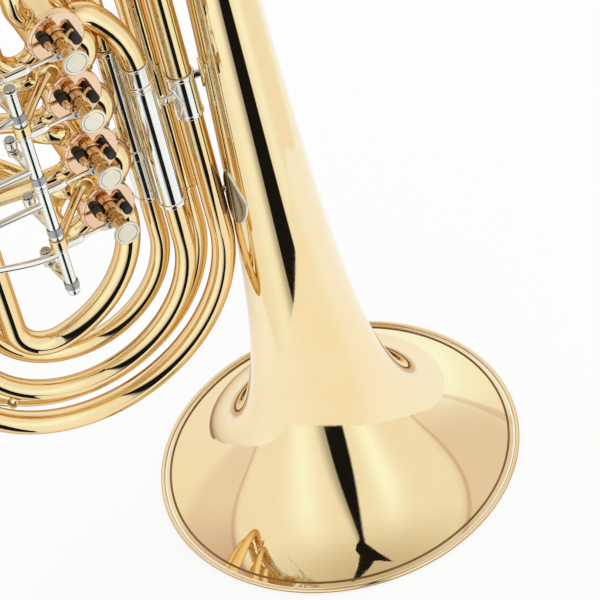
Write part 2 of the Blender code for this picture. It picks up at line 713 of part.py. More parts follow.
def key_hinge():
    """Hinge point of the water key, outside the tuning slide's bow."""
    centre = np.array([TUNING_LEG_X - TUNING_BOW_RADIUS, FRONT_Y, TUNING_BOW_Z])
    reach = TUNING_BOW_RADIUS + TUNING_TUBE + KEY_HINGE_HEIGHT
    return centre + polar(WATER_KEY_HINGE_ANGLE) * reach


def make_water_key():
    """Water key: pad over the nipple, bar, touch, and two cheeks with the pin of its hinge."""
    hinge = key_hinge()
    out, along = polar(WATER_KEY_HINGE_ANGLE), polar(WATER_KEY_HINGE_ANGLE + 90)
    width = np.array([0, 1.0, 0])
    inner = KEY_BARREL_HALF + GAP
    outer = inner + KEY_CHEEK
    bridge = block(hinge + out * (KEY_BARREL_RADIUS + 0.0012), along * 0.0019,
                   width * (outer + STEP / 2), out * 0.0008)
    cheeks = [block(hinge + out * 0.0007 + width * side * (inner + outer) / 2, along * 0.0016,
                    width * KEY_CHEEK / 2, out * 0.0021) for side in (-1, 1)]
    pin = rod(hinge - width * (outer + STEP), hinge + width * (outer + STEP), KEY_PIN_RADIUS)
    bends = ((-0.0145, 0.0042), (-0.006, 0.0036), (0.0, 0.0031), (0.007, 0.0026),
             (0.0149, 0.0003))
    bar = swept([hinge + along * t + out * n for t, n in bends], KEY_BAR_RADIUS, sides=8)
    touch = turned([(0, -0.0007), (KEY_TOUCH_RADIUS, -0.0007), (KEY_TOUCH_RADIUS, 0.0006),
                    (0, 0.0006)], hinge + along * bends[0][0] + out * bends[0][1], out, 12)
    way = polar(WATER_KEY_ANGLE)
    seat = TUNING_BOW_RADIUS + TUNING_TUBE + NIPPLE_HEIGHT + GAP
    centre = np.array([TUNING_LEG_X - TUNING_BOW_RADIUS, FRONT_Y, TUNING_BOW_Z])
    pad = turned([(0, 0), (KEY_PAD_RADIUS, 0), (KEY_PAD_RADIUS, 0.0015),
                  (KEY_PAD_RADIUS - 0.001, 0.0026), (0, 0.0026)], centre + way * seat, way, 12)
    add_part("water_key", fused(bridge, *cheeks, pin, bar, touch, pad), BRASS, pivot=hinge)


def make_inlet_bend():
    """Bend from the right tuning sleeve over to the first valve."""
    centre_x = TUNING_LEG_X - INLET_ARC_RADIUS
    bottom = TUNING_SLEEVE_TOP + GAP
    rise = max((bottom - INLET_ARC_Z) / INLET_ARC_RADIUS, 0.0)
    first = math.degrees(math.asin(rise)) + INLET_LEAD * (rise > 0)
    path = joined_path((TUNING_LEG_X, FRONT_Y, bottom),
                       arc(centre_x, INLET_ARC_Z, INLET_ARC_RADIUS, first, INLET_JOINT_ANGLE,
                           FRONT_Y, PORT_Y, steps=4))
    angle = math.radians(INLET_JOINT_ANGLE)
    add_part("valve_inlet_bend",
             swept(path, MAIN_TUBE, MAIN_TUBE - WALL, start=(0, 0, 1),
                   end=(-math.sin(angle), 0, math.cos(angle))), BRASS)


def port_point(number, side, level, reach):
    """Point on a port's axis: side and level are -1 or 1, reach is from the valve's axis."""
    return np.array([VALVE_X + side * reach * DIAGONAL, PORT_Y,
                     valve_z(number) + level * reach * DIAGONAL])


def knuckle_path(number, inside):
    """Path from inside a valve out of its lower right port and round to the next valve's port."""
    reach = MAIN_PORT_REACH + GAP
    start = port_point(number, 1, -1, reach)
    drop = VALVE_SPACING - 2 * reach * DIAGONAL
    radius = drop * DIAGONAL
    centre = start + np.array([-DIAGONAL * radius, 0, -DIAGONAL * radius])
    return joined_path(port_point(number, 1, -1, inside),
                       arc(centre[0], centre[2], radius, 45, -45, PORT_Y, steps=4))


def boss_paths(circle, joint, angle, turn, inside):
    """Paths of a casing's boss and of its bore, which go on from the joint with a bent tube.

    The boss keeps to the tube's circle up to an angle, then bends sharply into the casing.
    """
    centre_x, centre_z, radius = circle
    first = joint + math.degrees(GAP / radius)
    angle = max(angle, first)
    lead = arc(centre_x, centre_z, radius, first, angle, PORT_Y, steps=2)
    centre = lead[-1] - polar(angle) * BOSS_BEND_RADIUS
    bend = arc(centre[0], centre[2], BOSS_BEND_RADIUS, angle, angle + turn, PORT_Y, steps=3)
    inward = polar(angle + turn + 90)
    path = joined_path(lead, bend, bend[-1] + inward * inside)
    return path, np.vstack([path[0] - polar(joint + 90) * 0.002, path[:-1],
                            path[-1] + inward * 0.0015])


def make_casing(number):
    """Casing with its bore, four ports and back cap; the first three carry a knuckle."""
    z = valve_z(number)
    depth = CASING_BACK - CASING_FRONT
    body = turned([(0, 0), (CASING_RADIUS, 0), (CASING_RADIUS, depth), (CAP_RADIUS, depth + STEP),
                   (CAP_RADIUS, depth + CAP_DEPTH), (0, depth + CAP_DEPTH)],
                  (VALVE_X, CASING_FRONT, z), (0, 1, 0), CASING_SIDES)
    inside = 0.009
    deep = 0.006
    past = MAIN_PORT_REACH + 0.002
    main_bore = MAIN_TUBE - WALL
    valve_bore = VALVE_TUBE - WALL
    stubs, bores = [], []
    for level in (-1, 1):
        stubs.append(rod(port_point(number, -1, level, inside),
                         port_point(number, -1, level, PORT_REACH), VALVE_TUBE, 8))
        bores.append(rod(port_point(number, -1, level, deep), port_point(number, -1, level, past),
                         valve_bore, 8))
    if number == 1:
        circle = (TUNING_LEG_X - INLET_ARC_RADIUS, INLET_ARC_Z, INLET_ARC_RADIUS)
        bend, bore_path = boss_paths(circle, INLET_JOINT_ANGLE, INLET_BEND_ANGLE,
                                     INLET_BOSS_TURN, INLET_BOSS_REACH)
        stubs.append(swept(bend, MAIN_TUBE, start=bend[0] - bore_path[0]))
        bores.append(swept(bore_path, main_bore, sides=PORT_SIDES))
    else:
        stubs.append(rod(port_point(number, 1, 1, inside),
                         port_point(number, 1, 1, MAIN_PORT_REACH), MAIN_TUBE, MAIN_SIDES))
        bores.append(rod(port_point(number, 1, 1, deep), port_point(number, 1, 1, past), main_bore,
                         PORT_SIDES))
    if number < VALVE_COUNT:
        bend = knuckle_path(number, inside)
        way_out = np.array([-DIAGONAL, 0, -DIAGONAL])
        stubs.append(swept(bend, MAIN_TUBE, end=way_out))
        longer = np.vstack([knuckle_path(number, deep), bend[-1] + way_out * 0.002])
        bores.append(swept(longer, main_bore, sides=PORT_SIDES))
    else:
        circle = (EXIT_ARC_X, EXIT_ARC_Z, EXIT_ARC_RADIUS)
        bend, bore_path = boss_paths(circle, EXIT_START_ANGLE, EXIT_START_ANGLE,
                                     EXIT_BOSS_TURN, EXIT_BOSS_REACH)
        stubs.append(swept(bend, MAIN_TUBE, start=bend[0] - bore_path[0]))
        bores.append(swept(bore_path, main_bore, sides=PORT_SIDES))
    chamber = rod((VALVE_X, CASING_FRONT - 0.002, z), (VALVE_X, CASING_BACK - 0.002, z),
                  CASING_BORE, CASING_SIDES)
    shape = cut(fused(body, *stubs), chamber, *bores)
    add_part(f"valve_casing_{number}", shape, BRASS)


def make_rotor(number):
    """Rotor with its two windways and the stem that comes out through the bearing plate."""
    z = valve_z(number)
    front = PLATE_FRONT + 0.0027 + GAP
    back = CASING_BACK - 0.002 - 0.0012 - GAP
    tip = ARM_FRONT + 0.0013
    radius = CASING_BORE - GAP
    profile = [(0, tip), (STEM_RADIUS, tip), (STEM_RADIUS, front), (radius, front),
               (radius, back), (STEM_RADIUS, back), (STEM_RADIUS, back + 0.0012),
               (0, back + 0.0012)]
    body = turned(profile, (VALVE_X, 0, z), (0, 1, 0), 12)
    reach = 0.016
    ways = [rod((VALVE_X + side * (radius - 0.0035), PORT_Y, z - reach),
                (VALVE_X + side * (radius - 0.0035), PORT_Y, z + reach), bore, PORT_SIDES)
            for side, bore in ((1, MAIN_TUBE - WALL), (-1, VALVE_TUBE - WALL))]
    add_part(f"rotor_{number}", cut(body, *ways), BRASS, pivot=(VALVE_X, 0, z))


def make_bearing_plate(number):
    """Front bearing plate with its spigot, the stem's hole and the two rubber bumpers' seats."""
    z = valve_z(number)
    hole = STEM_RADIUS + GAP
    back = PLATE_FRONT + 0.0027
    profile = [(hole, PLATE_FRONT), (PLATE_RADIUS - 0.0006, PLATE_FRONT),
               (PLATE_RADIUS, PLATE_FRONT + 0.0006), (PLATE_RADIUS, back), (hole, back)]
    plate = turned(profile, (VALVE_X, 0, z), (0, 1, 0), 20)
    bumpers = []
    for x, rise in (RIGHT_BUMPER, LEFT_BUMPER):
        at = (VALVE_X + x, 0, z + rise)
        top = PLATE_FRONT - BUMPER_HEIGHT
        bumpers.append(turned([(0, top), (BUMPER_RADIUS, top), (BUMPER_RADIUS, PLATE_FRONT + 0.001),
                               (0, PLATE_FRONT + 0.001)], at, (0, 1, 0), 10))
    add_part(f"bearing_plate_{number}", fused(plate, *bumpers), ROSE_BRASS)


def make_stop_arm(number):
    """Hub on the rotor's stem with crank pin, stop lug and the flat cap disc on its neck."""
    z = valve_z(number)
    root = PLATE_FRONT - 0.0005
    socket = ARM_FRONT + 0.0010
    collar = ARM_FRONT - 0.0042
    disc = CAP_DISC_FRONT + CAP_DISC_THICKNESS
    bore = STEM_RADIUS + GAP
    profile = [(0, socket), (bore, socket), (bore, root), (HUB_RADIUS, root),
               (HUB_RADIUS, ARM_FRONT), (NECK_RADIUS, ARM_FRONT), (NECK_RADIUS, collar),
               (COLLAR_RADIUS, collar), (COLLAR_RADIUS, collar - 0.0036),
               (COLLAR_RADIUS - 0.0008, collar - 0.0040), (COLLAR_RADIUS - 0.0008, disc),
               (CAP_DISC_RADIUS, disc), (CAP_DISC_RADIUS, CAP_DISC_FRONT + STEP),
               (CAP_DISC_RADIUS - STEP, CAP_DISC_FRONT), (0, CAP_DISC_FRONT)]
    hub = turned(profile, (VALVE_X, 0, z), (0, 1, 0), 12)
    pin_x, pin_z = VALVE_X - CRANK_SIDE, z - CRANK_SIDE
    middle = ARM_FRONT + ARM_THICKNESS / 2
    crank = rod((pin_x, ARM_FRONT + STEP, pin_z), (pin_x, ARM_FRONT + ARM_THICKNESS, pin_z),
                0.0017, 10)
    pin = rod((pin_x, ARM_FRONT - LINK_RING_LENGTH - 0.0009, pin_z), (pin_x, middle, pin_z),
              CRANK_PIN_RADIUS, 8)
    front, back = ARM_FRONT + STEP / 2, ARM_FRONT + ARM_THICKNESS
    out = polar(LUG_ANGLE)
    lug = block(np.array([VALVE_X, (front + back) / 2, z]) + out * (LUG_ROOT + LUG_REACH) / 2,
                out * (LUG_REACH - LUG_ROOT) / 2, polar(LUG_ANGLE + 90) * LUG_HALF_WIDTH,
                np.array([0, (back - front) / 2, 0]))
    add_part(f"stop_arm_{number}", fused(hub, crank, pin, lug), NICKEL, pivot=(VALVE_X, 0, z))


def lever_rest():
    """Offset of the lever's pin from the hinge axis at rest, in X and Y."""
    angle = math.radians(LEVER_TURN / 2)
    return -SHORT_ARM * math.sin(angle), SHORT_ARM * math.cos(angle)


def make_link(number):
    """Link rod from the stop arm's pin to the lever's pin, with its adjusting sleeve."""
    z = valve_z(number) - CRANK_SIDE
    ring_x = VALVE_X - CRANK_SIDE
    eye_x = HINGE_X + lever_rest()[0]
    eye_y = HINGE_Y + lever_rest()[1]
    half = LINK_RING_LENGTH / 2
    bore = CRANK_PIN_RADIUS + GAP
    ring = turned([(bore, -half), (LINK_RING_RADIUS, -half), (LINK_RING_RADIUS, half),
                   (bore, half)], (ring_x, LINK_Y, z), (0, 1, 0), 10)
    eye_bore = LEVER_PIN_RADIUS + LINK_EYE_PLAY
    tall = LINK_EYE_HEIGHT / 2
    eye = turned([(eye_bore, -tall), (LINK_EYE_RADIUS, -tall), (LINK_EYE_RADIUS, tall),
                  (eye_bore, tall)], (eye_x, eye_y, z), (0, 0, 1), 10)
    sleeve_end = eye_x + LINK_EYE_RADIUS + 0.0022
    sleeve = turned([(0, 0), (LINK_SLEEVE_RADIUS, 0), (LINK_SLEEVE_RADIUS, LINK_SLEEVE_LENGTH),
                     (0, LINK_SLEEVE_LENGTH)], (sleeve_end, LINK_Y, z), (1, 0, 0), 10)
    bar = swept([(eye_x + (eye_bore + LINK_EYE_RADIUS) / 2, LINK_Y, z),
                 (ring_x - (bore + LINK_RING_RADIUS) / 2, LINK_Y, z)], LINK_ROD_RADIUS, sides=8)
    add_part(f"link_{number}", fused(sleeve, bar, ring, eye), NICKEL, pivot=(ring_x, LINK_Y, z))


def post_z(upper):
    """Height of a hinge post: the lower one between valves 3 and 4, the upper between 1 and 2."""
    return (valve_z(1) + valve_z(2)) / 2 if upper else (valve_z(3) + valve_z(4)) / 2


def hub_ends(number):
    """Lower and upper end of a lever's hub on the hinge rod, between posts and neighbours."""
    half = POST_RING_HEIGHT / 2
    middle = (valve_z(2) + valve_z(3)) / 2
    spans = {4: (valve_z(4) - HINGE_ROD_MARGIN, post_z(False) - half),
             3: (post_z(False) + half, middle),
             2: (middle, post_z(True) - half),
             1: (post_z(True) + half, valve_z(1) + 0.006)}
    low, high = spans[number]
    return low + GAP / 2, high - GAP / 2


def make_lever(number):
    """Finger lever: hub on the hinge rod, short arm with the link's pin, arm and touch plate."""
    low, high = hub_ends(number)
    bore = HINGE_ROD_RADIUS + GAP
    hub = turned([(bore, low), (LEVER_HUB_RADIUS, low), (LEVER_HUB_RADIUS, high), (bore, high)],
                 (HINGE_X, HINGE_Y, 0), (0, 0, 1), 10)
    z = valve_z(number) - CRANK_SIDE
    offset = np.array([*lever_rest(), 0.0])
    hinge = np.array([HINGE_X, HINGE_Y, 0.0])
    arm_top = z - LINK_EYE_HEIGHT / 2 - LINK_DROP
    arm_bottom = arm_top - SHORT_ARM_THICKNESS
    along = offset / np.linalg.norm(offset)
    across = np.array([-along[1], along[0], 0.0]) * SHORT_ARM_HALF_WIDTH
    inner = LEVER_HUB_RADIUS - 0.001
    short_arm = block(hinge + along * (inner + SHORT_ARM) / 2
                      + np.array([0, 0, (arm_bottom + arm_top) / 2]),
                      along * (SHORT_ARM - inner) / 2, across,
                      np.array([0, 0, SHORT_ARM_THICKNESS / 2]))
    pin_at = hinge + offset
    boss = SHORT_ARM_HALF_WIDTH + STEP
    tip = turned([(0, arm_bottom - STEP), (boss, arm_bottom - STEP), (boss, arm_top + STEP / 2),
                  (0, arm_top + STEP / 2)], (pin_at[0], pin_at[1], 0), (0, 0, 1), 10)
    head = z + LINK_EYE_HEIGHT / 2 + GAP
    head_radius = LEVER_PIN_RADIUS + LINK_EYE_PLAY + 0.0007
    pin = turned([(0, arm_bottom + 0.001), (LEVER_PIN_RADIUS, arm_bottom + 0.001),
                  (LEVER_PIN_RADIUS, head), (head_radius, head), (head_radius, head + 0.0012),
                  (0, head + 0.0012)], (pin_at[0], pin_at[1], 0), (0, 0, 1), 8)
    middle = (valve_z(1) + valve_z(4)) / 2
    plate_z = middle + (2.5 - number) * TOUCH_SPACING
    root_z = min(max(plate_z, low + 0.004), high - 0.004)
    touch = np.array([TOUCH_X, HINGE_Y, plate_z])
    root = np.array([HINGE_X - LEVER_HUB_RADIUS + 0.001, HINGE_Y, root_z])
    arm = swept(shift_run(root, touch + np.array([TOUCH_LENGTH / 2 - 0.003, 0, 0]), steps=4),
                np.linspace(LEVER_ARM_RADIUS, LEVER_ARM_RADIUS * 0.75, 5), sides=6)
    half = TOUCH_THICKNESS / 2
    disc_points, disc_faces = turned([(0, -half), (0.92, -half), (1.0, half), (0, half)],
                                     (0, 0, 0), (0, 1, 0), 16)
    disc_points = disc_points * np.array([TOUCH_LENGTH / 2, 1.0, TOUCH_WIDTH / 2]) + touch
    shape = fused(hub, short_arm, tip, pin, arm, (disc_points, disc_faces))
    add_part(f"lever_{number}", shape, NICKEL, pivot=(HINGE_X, HINGE_Y, z))


def make_hinge():
    """Hinge rod with a head at each end, and the two posts that carry it."""
    low = hub_ends(4)[0] - GAP
    high = hub_ends(1)[1] + GAP
    head = HINGE_ROD_RADIUS + 0.0012
    profile = [(0, low - HINGE_HEAD_THICKNESS), (head, low - HINGE_HEAD_THICKNESS), (head, low),
               (HINGE_ROD_RADIUS, low), (HINGE_ROD_RADIUS, high), (head, high),
               (head, high + HINGE_HEAD_THICKNESS), (0, high + HINGE_HEAD_THICKNESS)]
    add_part("lever_hinge_rod", turned(profile, (HINGE_X, HINGE_Y, 0), (0, 0, 1), 10), STEEL)
    across = VALVE_X - POST_BOSS_X
    boss_radius = math.hypot(across, VALVE_SPACING / 2) - PLATE_RADIUS - GAP
    half = POST_RING_HEIGHT / 2 - GAP / 2
    bore = HINGE_ROD_RADIUS + GAP
    for name, upper in (("lever_post_upper", True), ("lever_post_lower", False)):
        z = post_z(upper)
        boss = turned([(0, POST_BOSS_BACK), (boss_radius, POST_BOSS_BACK),
                       (boss_radius, PLATE_FRONT + STEP), (boss_radius - STEP, PLATE_FRONT),
                       (0, PLATE_FRONT)], (POST_BOSS_X, 0, z), (0, 1, 0), 12)
        hinge = np.array([HINGE_X, HINGE_Y, z])
        foot = np.array([POST_BOSS_X, (PLATE_FRONT + POST_BOSS_BACK) / 2, z])
        reach = (hinge - foot) / np.linalg.norm(hinge - foot)
        arm = rod(foot, hinge - reach * (bore + 0.0010), POST_ARM_RADIUS, 8)
        ring = turned([(bore, z - half), (POST_RING_RADIUS, z - half),
                       (POST_RING_RADIUS, z + half), (bore, z + half)],
                      (HINGE_X, HINGE_Y, 0), (0, 0, 1), 10)
        add_part(name, fused(boss, arm, ring), BRASS)


def left_elbow(number, level, radius=ELBOW_RADIUS):
    """Elbow from a left port round to -X: returns its points, ending level."""
    start = port_point(number, -1, level, PORT_REACH + GAP)
    inward = np.array([-DIAGONAL, 0, -level * DIAGONAL]) * radius
    centre = start + inward
    first = 45.0 if level > 0 else -45.0
    return arc(centre[0], centre[2], radius, first, 90.0 * level, PORT_Y, steps=2)


def port_direction(level):
    """Way out of a left port, up or down."""
    return np.array([-DIAGONAL, 0, level * DIAGONAL])


def crook_guide(start, level, points):
    """Points that steer a crook: out of its port, then on through points above that port."""
    return [start - port_direction(level) * CROOK_LEAD, start,
            *[(x, y, start[2] + rise) for x, y, rise in points]]


def slide_bow(leg_a, leg_b, length, centre_steps, direction):
    """U-shaped tube path between two parallel legs that run along a direction."""
    leg_a, leg_b, direction = (np.array(v, float) for v in (leg_a, leg_b, direction))
    middle, half = (leg_a + leg_b) / 2, (leg_a - leg_b) / 2
    angle = np.linspace(0, np.pi, centre_steps + 1)[:, None]
    bend = middle + half * np.cos(angle) - direction * np.linalg.norm(half) * np.sin(angle)
    return joined_path(leg_a + direction * length, bend, leg_b + direction * length)


def stay(start, end, radius=BRACE_ROD):
    """Plain rod of a stay with a swell in its middle."""
    start, end = np.array(start, float), np.array(end, float)
    share = np.array([0.0, 0.35, 0.5, 0.65, 1.0])[:, None]
    return swept(start + (end - start) * share,
                 np.array([1.0, 1.0, 1.35, 1.0, 1.0]) * radius, sides=8)


def make_third_slide():
    """Third valve's sleeves, slide bow and the crooks that lead to the valve."""
    bore = VALVE_TUBE + GAP
    rings = [(THIRD_SLEEVE_BOTTOM, THIRD_SLEEVE_BOTTOM + 0.0026, 0.0006),
             (*THIRD_COLLAR, 0.0009),
             (THIRD_SLEEVE_TOP - 0.0032, THIRD_SLEEVE_TOP, 0.0008)]
    sleeve = hollow(VALVE_SLEEVE, bore, THIRD_SLEEVE_BOTTOM, THIRD_SLEEVE_TOP, rings, THIRD_LEG_X,
                    MIDDLE_Y)
    wall = VALVE_SLEEVE - SLEEVE_BITE
    stays = []
    for number, height in ((2, THIRD_SLEEVE_TOP - 0.0016), (4, sum(THIRD_COLLAR) / 2)):
        rise = height - valve_z(number)
        edge = max(abs(rise) - BRACE_ROD, 0)
        side = VALVE_X + math.sqrt(CASING_RADIUS ** 2 - edge ** 2) + GAP
        stays.append(rod((side, MIDDLE_Y, height), (THIRD_LEG_X - wall, MIDDLE_Y, height),
                         BRACE_ROD))
    add_part("third_sleeve_right", fused(sleeve, *stays), NICKEL)
    left_rings = [rings[0], (THIRD_LEFT_SLEEVE_TOP - 0.002, THIRD_LEFT_SLEEVE_TOP, 0.0006)]
    add_part("third_sleeve_left",
             hollow(VALVE_SLEEVE, bore, THIRD_SLEEVE_BOTTOM, THIRD_LEFT_SLEEVE_TOP, left_rings,
                    THIRD_LEFT_X, MIDDLE_Y), NICKEL)
    length = THIRD_LEFT_SLEEVE_TOP - 0.003 - THIRD_BOW_Z
    path = slide_bow((THIRD_LEG_X, MIDDLE_Y, THIRD_BOW_Z), (THIRD_LEFT_X, MIDDLE_Y, THIRD_BOW_Z),
                     length, 9, (0, 0, 1))
    centre = ((THIRD_LEG_X + THIRD_LEFT_X) / 2, MIDDLE_Y, THIRD_BOW_Z)
    add_part("third_slide", swept(path, VALVE_TUBE, VALVE_TUBE - WALL, sides=VALVE_SIDES), BRASS,
             pivot=centre)

    turn = 0.012
    top = THIRD_LEFT_SLEEVE_TOP + GAP
    elbow = left_elbow(3, -1)
    over = arc(THIRD_LEFT_X + turn, top, turn, 90, 180, MIDDLE_Y, steps=4)
    path = joined_path(elbow, shift_run(elbow[-1], over[0], steps=5), over)
    add_part("third_crook_left",
             swept(path, VALVE_TUBE, VALVE_TUBE - WALL, sides=VALVE_SIDES,
                   start=port_direction(-1), end=(0, 0, -1)), BRASS)

    start = port_point(3, -1, 1, PORT_REACH + GAP)
    half = (THIRD_RISER_Y - MIDDLE_Y) / 2
    angle = np.radians([180, 144, 108, 72, 36, 0])
    over = np.stack([np.full(6, THIRD_LEG_X), MIDDLE_Y + half - half * np.cos(angle),
                     THIRD_TOP_Z + half * np.sin(angle)], axis=1)
    guide = [*crook_guide(start, 1, THIRD_CROOK), (THIRD_LEG_X, THIRD_RISER_Y, THIRD_TOP_Z),
             (THIRD_LEG_X, THIRD_RISER_Y, THIRD_TOP_Z + RISER_LEAD)]
    path = joined_path(smooth_run(guide, 1), over,
                       (THIRD_LEG_X, MIDDLE_Y, THIRD_SLEEVE_TOP + GAP))
    add_part("third_crook_right",
             swept(path, VALVE_TUBE, VALVE_TUBE - WALL, sides=VALVE_SIDES,
                   start=port_direction(1)), BRASS)


def make_fourth_slide():
    """Fourth valve's sleeves, long slide bow and crooks."""
    bore = VALVE_TUBE + GAP
    for side, x, top in (("right", FOURTH_LEG_X, FOURTH_SLEEVE_TOP),
                         ("left", FOURTH_LEFT_X, FOURTH_LEFT_SLEEVE_TOP)):
        rings = [(FOURTH_SLEEVE_BOTTOM, FOURTH_SLEEVE_BOTTOM + 0.0026, 0.0007),
                 (top - 0.0026, top, 0.0007)]
        add_part(f"fourth_sleeve_{side}",
                 hollow(VALVE_SLEEVE, bore, FOURTH_SLEEVE_BOTTOM, top, rings, x, BACK_Y), NICKEL)
    path = slide_bow((FOURTH_LEG_X, BACK_Y, FOURTH_BOW_Z), (FOURTH_LEFT_X, BACK_Y, FOURTH_BOW_Z),
                     FOURTH_LEG_LENGTH, 10, (0, 0, 1))
    centre = ((FOURTH_LEG_X + FOURTH_LEFT_X) / 2, BACK_Y, FOURTH_BOW_Z)
    add_part("fourth_slide", swept(path, VALVE_TUBE, VALVE_TUBE - WALL, sides=VALVE_SIDES), BRASS,
             pivot=centre)

    top = FOURTH_LEFT_SLEEVE_TOP + GAP
    start = port_point(4, -1, 1, PORT_REACH + GAP)
    guide = [*crook_guide(start, 1, FOURTH_LEFT_CROOK),
             (FOURTH_LEFT_X, BACK_Y, top + CROOK_LEAD), (FOURTH_LEFT_X, BACK_Y, top),
             (FOURTH_LEFT_X, BACK_Y, top - CROOK_LEAD)]
    add_part("fourth_crook_left",
             swept(smooth_run(guide, 1), VALVE_TUBE, VALVE_TUBE - WALL, sides=VALVE_SIDES,
                   start=port_direction(1), end=(0, 0, -1)), BRASS)

    top = FOURTH_SLEEVE_TOP + GAP
    start = port_point(4, -1, -1, PORT_REACH + GAP)
    half = (RISER_Y - BACK_Y) / 2
    angle = np.radians([144, 108, 72, 36, 0])
    over = np.stack([np.full(5, FOURTH_LEG_X), BACK_Y + half - half * np.cos(angle),
                     top + half * np.sin(angle)], axis=1)
    guide = [*crook_guide(start, -1, FOURTH_RIGHT_CROOK), (FOURTH_LEG_X, RISER_Y, top),
             (FOURTH_LEG_X, RISER_Y, top + RISER_LEAD)]
    path = joined_path(smooth_run(guide, 1), over)
    add_part("fourth_crook_right",
             swept(path, VALVE_TUBE, VALVE_TUBE - WALL, sides=VALVE_SIDES,
                   start=port_direction(-1), end=(0, 0, -1)), BRASS)


def sleeve_radii(path, sleeve_points):
    """Outer and inner radii of a branch tube whose last points are an outer sleeve."""
    outer = np.full(len(path), VALVE_TUBE)
    inner = np.full(len(path), VALVE_TUBE - WALL)
    outer[-sleeve_points:] = VALVE_SLEEVE
    inner[-sleeve_points:] = VALVE_TUBE + GAP
    return outer, inner


def make_first_slide():
    """First valve's two branches, which rise behind the crossover bow, and the slide bow."""
    start = port_point(1, -1, 1, PORT_REACH + GAP)
    centre = start + np.array([DIAGONAL, 0, DIAGONAL]) * ELBOW_RADIUS
    upper = arc(centre[0], centre[2], ELBOW_RADIUS, 225, 180, PORT_Y, steps=2)
    start = port_point(1, -1, -1, PORT_REACH + GAP)
    centre = start + np.array([-DIAGONAL, 0, DIAGONAL]) * FIRST_ELBOW_RADIUS
    lower = arc(centre[0], centre[2], FIRST_ELBOW_RADIUS, -45, -180, PORT_Y, steps=5)
    legs = []
    for name, elbow, level in (("first_branch_upper", upper, 1), ("first_branch_lower", lower, -1)):
        x = elbow[-1][0]
        legs.append(x)
        path = joined_path(elbow,
                           shift_run(elbow[-1] + np.array([0, 0, 0.004]),
                                     (x, FIRST_SLIDE_Y, FIRST_SLEEVE_BOTTOM - 0.004), steps=4),
                           (x, FIRST_SLIDE_Y, FIRST_SLEEVE_BOTTOM - STEP),
                           (x, FIRST_SLIDE_Y, FIRST_SLEEVE_BOTTOM),
                           (x, FIRST_SLIDE_Y, FIRST_SLEEVE_TOP))
        outer, inner = sleeve_radii(path, 2)
        add_part(name, swept(path, outer, inner, sides=VALVE_SIDES, start=port_direction(level)),
                 BRASS)
    length = FIRST_BOW_Z - FIRST_SLEEVE_BOTTOM - 0.002
    path = slide_bow((legs[0], FIRST_SLIDE_Y, FIRST_BOW_Z), (legs[1], FIRST_SLIDE_Y, FIRST_BOW_Z),
                     length, 6, (0, 0, -1))
    add_part("first_slide", swept(path, VALVE_TUBE, VALVE_TUBE - WALL, sides=VALVE_SIDES), BRASS,
             pivot=(sum(legs) / 2, FIRST_SLIDE_Y, FIRST_BOW_Z))


def make_second_slide():
    """Second valve's two branches to the left and its short slide bow."""
    levels = []
    for name, level in (("second_branch_upper", 1), ("second_branch_lower", -1)):
        elbow = left_elbow(2, level)
        z = elbow[-1][2]
        levels.append(z)
        path = joined_path(elbow,
                           shift_run(elbow[-1], (SECOND_SLEEVE_START + STEP, MIDDLE_Y, z), steps=4),
                           (SECOND_SLEEVE_START, MIDDLE_Y, z), (SECOND_SLEEVE_END, MIDDLE_Y, z))
        outer, inner = sleeve_radii(path, 2)
        add_part(name, swept(path, outer, inner, sides=VALVE_SIDES, start=port_direction(level),
                             end=(-1, 0, 0)), BRASS)
    length = SECOND_SLEEVE_START - SECOND_BOW_X - 0.002
    path = slide_bow((SECOND_BOW_X, MIDDLE_Y, levels[0]), (SECOND_BOW_X, MIDDLE_Y, levels[1]),
                     length, 6, (1, 0, 0))
    add_part("second_slide", swept(path, VALVE_TUBE, VALVE_TUBE - WALL, sides=VALVE_SIDES), BRASS,
             pivot=(SECOND_BOW_X, MIDDLE_Y, sum(levels) / 2))


def make_braces():
    """Soldered braces between the bell, the inner leg and the tuning sleeve."""
    ferrule = MAIN_TUBE + GAP + WALL
    angle = math.degrees(math.atan2(MIDDLE_Y, INNER_LEG_X))
    toward = np.array([math.cos(math.radians(angle)), math.sin(math.radians(angle)), 0])
    distance = math.hypot(INNER_LEG_X, MIDDLE_Y)
    wall = bell_wall(BRACE_Z) + GAP + FOOT_THICKNESS / 2
    foot = curved_foot(0, 0, bell_wall, angle, BRACE_Z, 0.011, 0.0065)
    lift = np.array([0, 0, BRACE_Z])
    bar = rod(toward * wall + lift, toward * (distance - ferrule - STEP - GAP) + lift, 0.0024,
              10)
    add_part("bell_brace", fused(foot, bar), NICKEL)

    start = np.array([TUNING_LEG_X, FRONT_Y, BRACE_Z])
    end = np.array([INNER_LEG_X, MIDDLE_Y, BRACE_Z])
    way = (end - start) / np.linalg.norm(end - start)
    facing = math.degrees(math.atan2(way[1], way[0]))
    first = curved_foot(TUNING_LEG_X, FRONT_Y, lambda z: TUNING_SLEEVE, facing, BRACE_Z, 0.009,
                        0.0048)
    second = curved_foot(INNER_LEG_X, MIDDLE_Y, lambda z: ferrule, facing + 180, BRACE_Z - 0.0105,
                         0.0095, 0.0048)
    bar = stay(start + way * (TUNING_SLEEVE + GAP + FOOT_THICKNESS / 2),
               end - way * (ferrule + GAP + FOOT_THICKNESS / 2) - np.array([0, 0, 0.006]))
    add_part("sleeve_brace", fused(first, second, bar), NICKEL)

    wall = bell_wall(LEAF_Z) + GAP + FOOT_THICKNESS / 2
    leaf = curved_foot(0, 0, bell_wall, angle + LEAF_ANGLE, LEAF_Z, LEAF_HALF_HEIGHT,
                       LEAF_HALF_WIDTH, pointed_bottom=False)
    lift = np.array([0, 0, LEAF_Z])
    bar = rod(toward * wall + lift, toward * (distance - MAIN_TUBE - GAP) + lift, 0.0022, 8)
    add_part("leaf_stay", fused(leaf, bar), NICKEL)


instrument = bpy.data.objects.new("instrument", None)


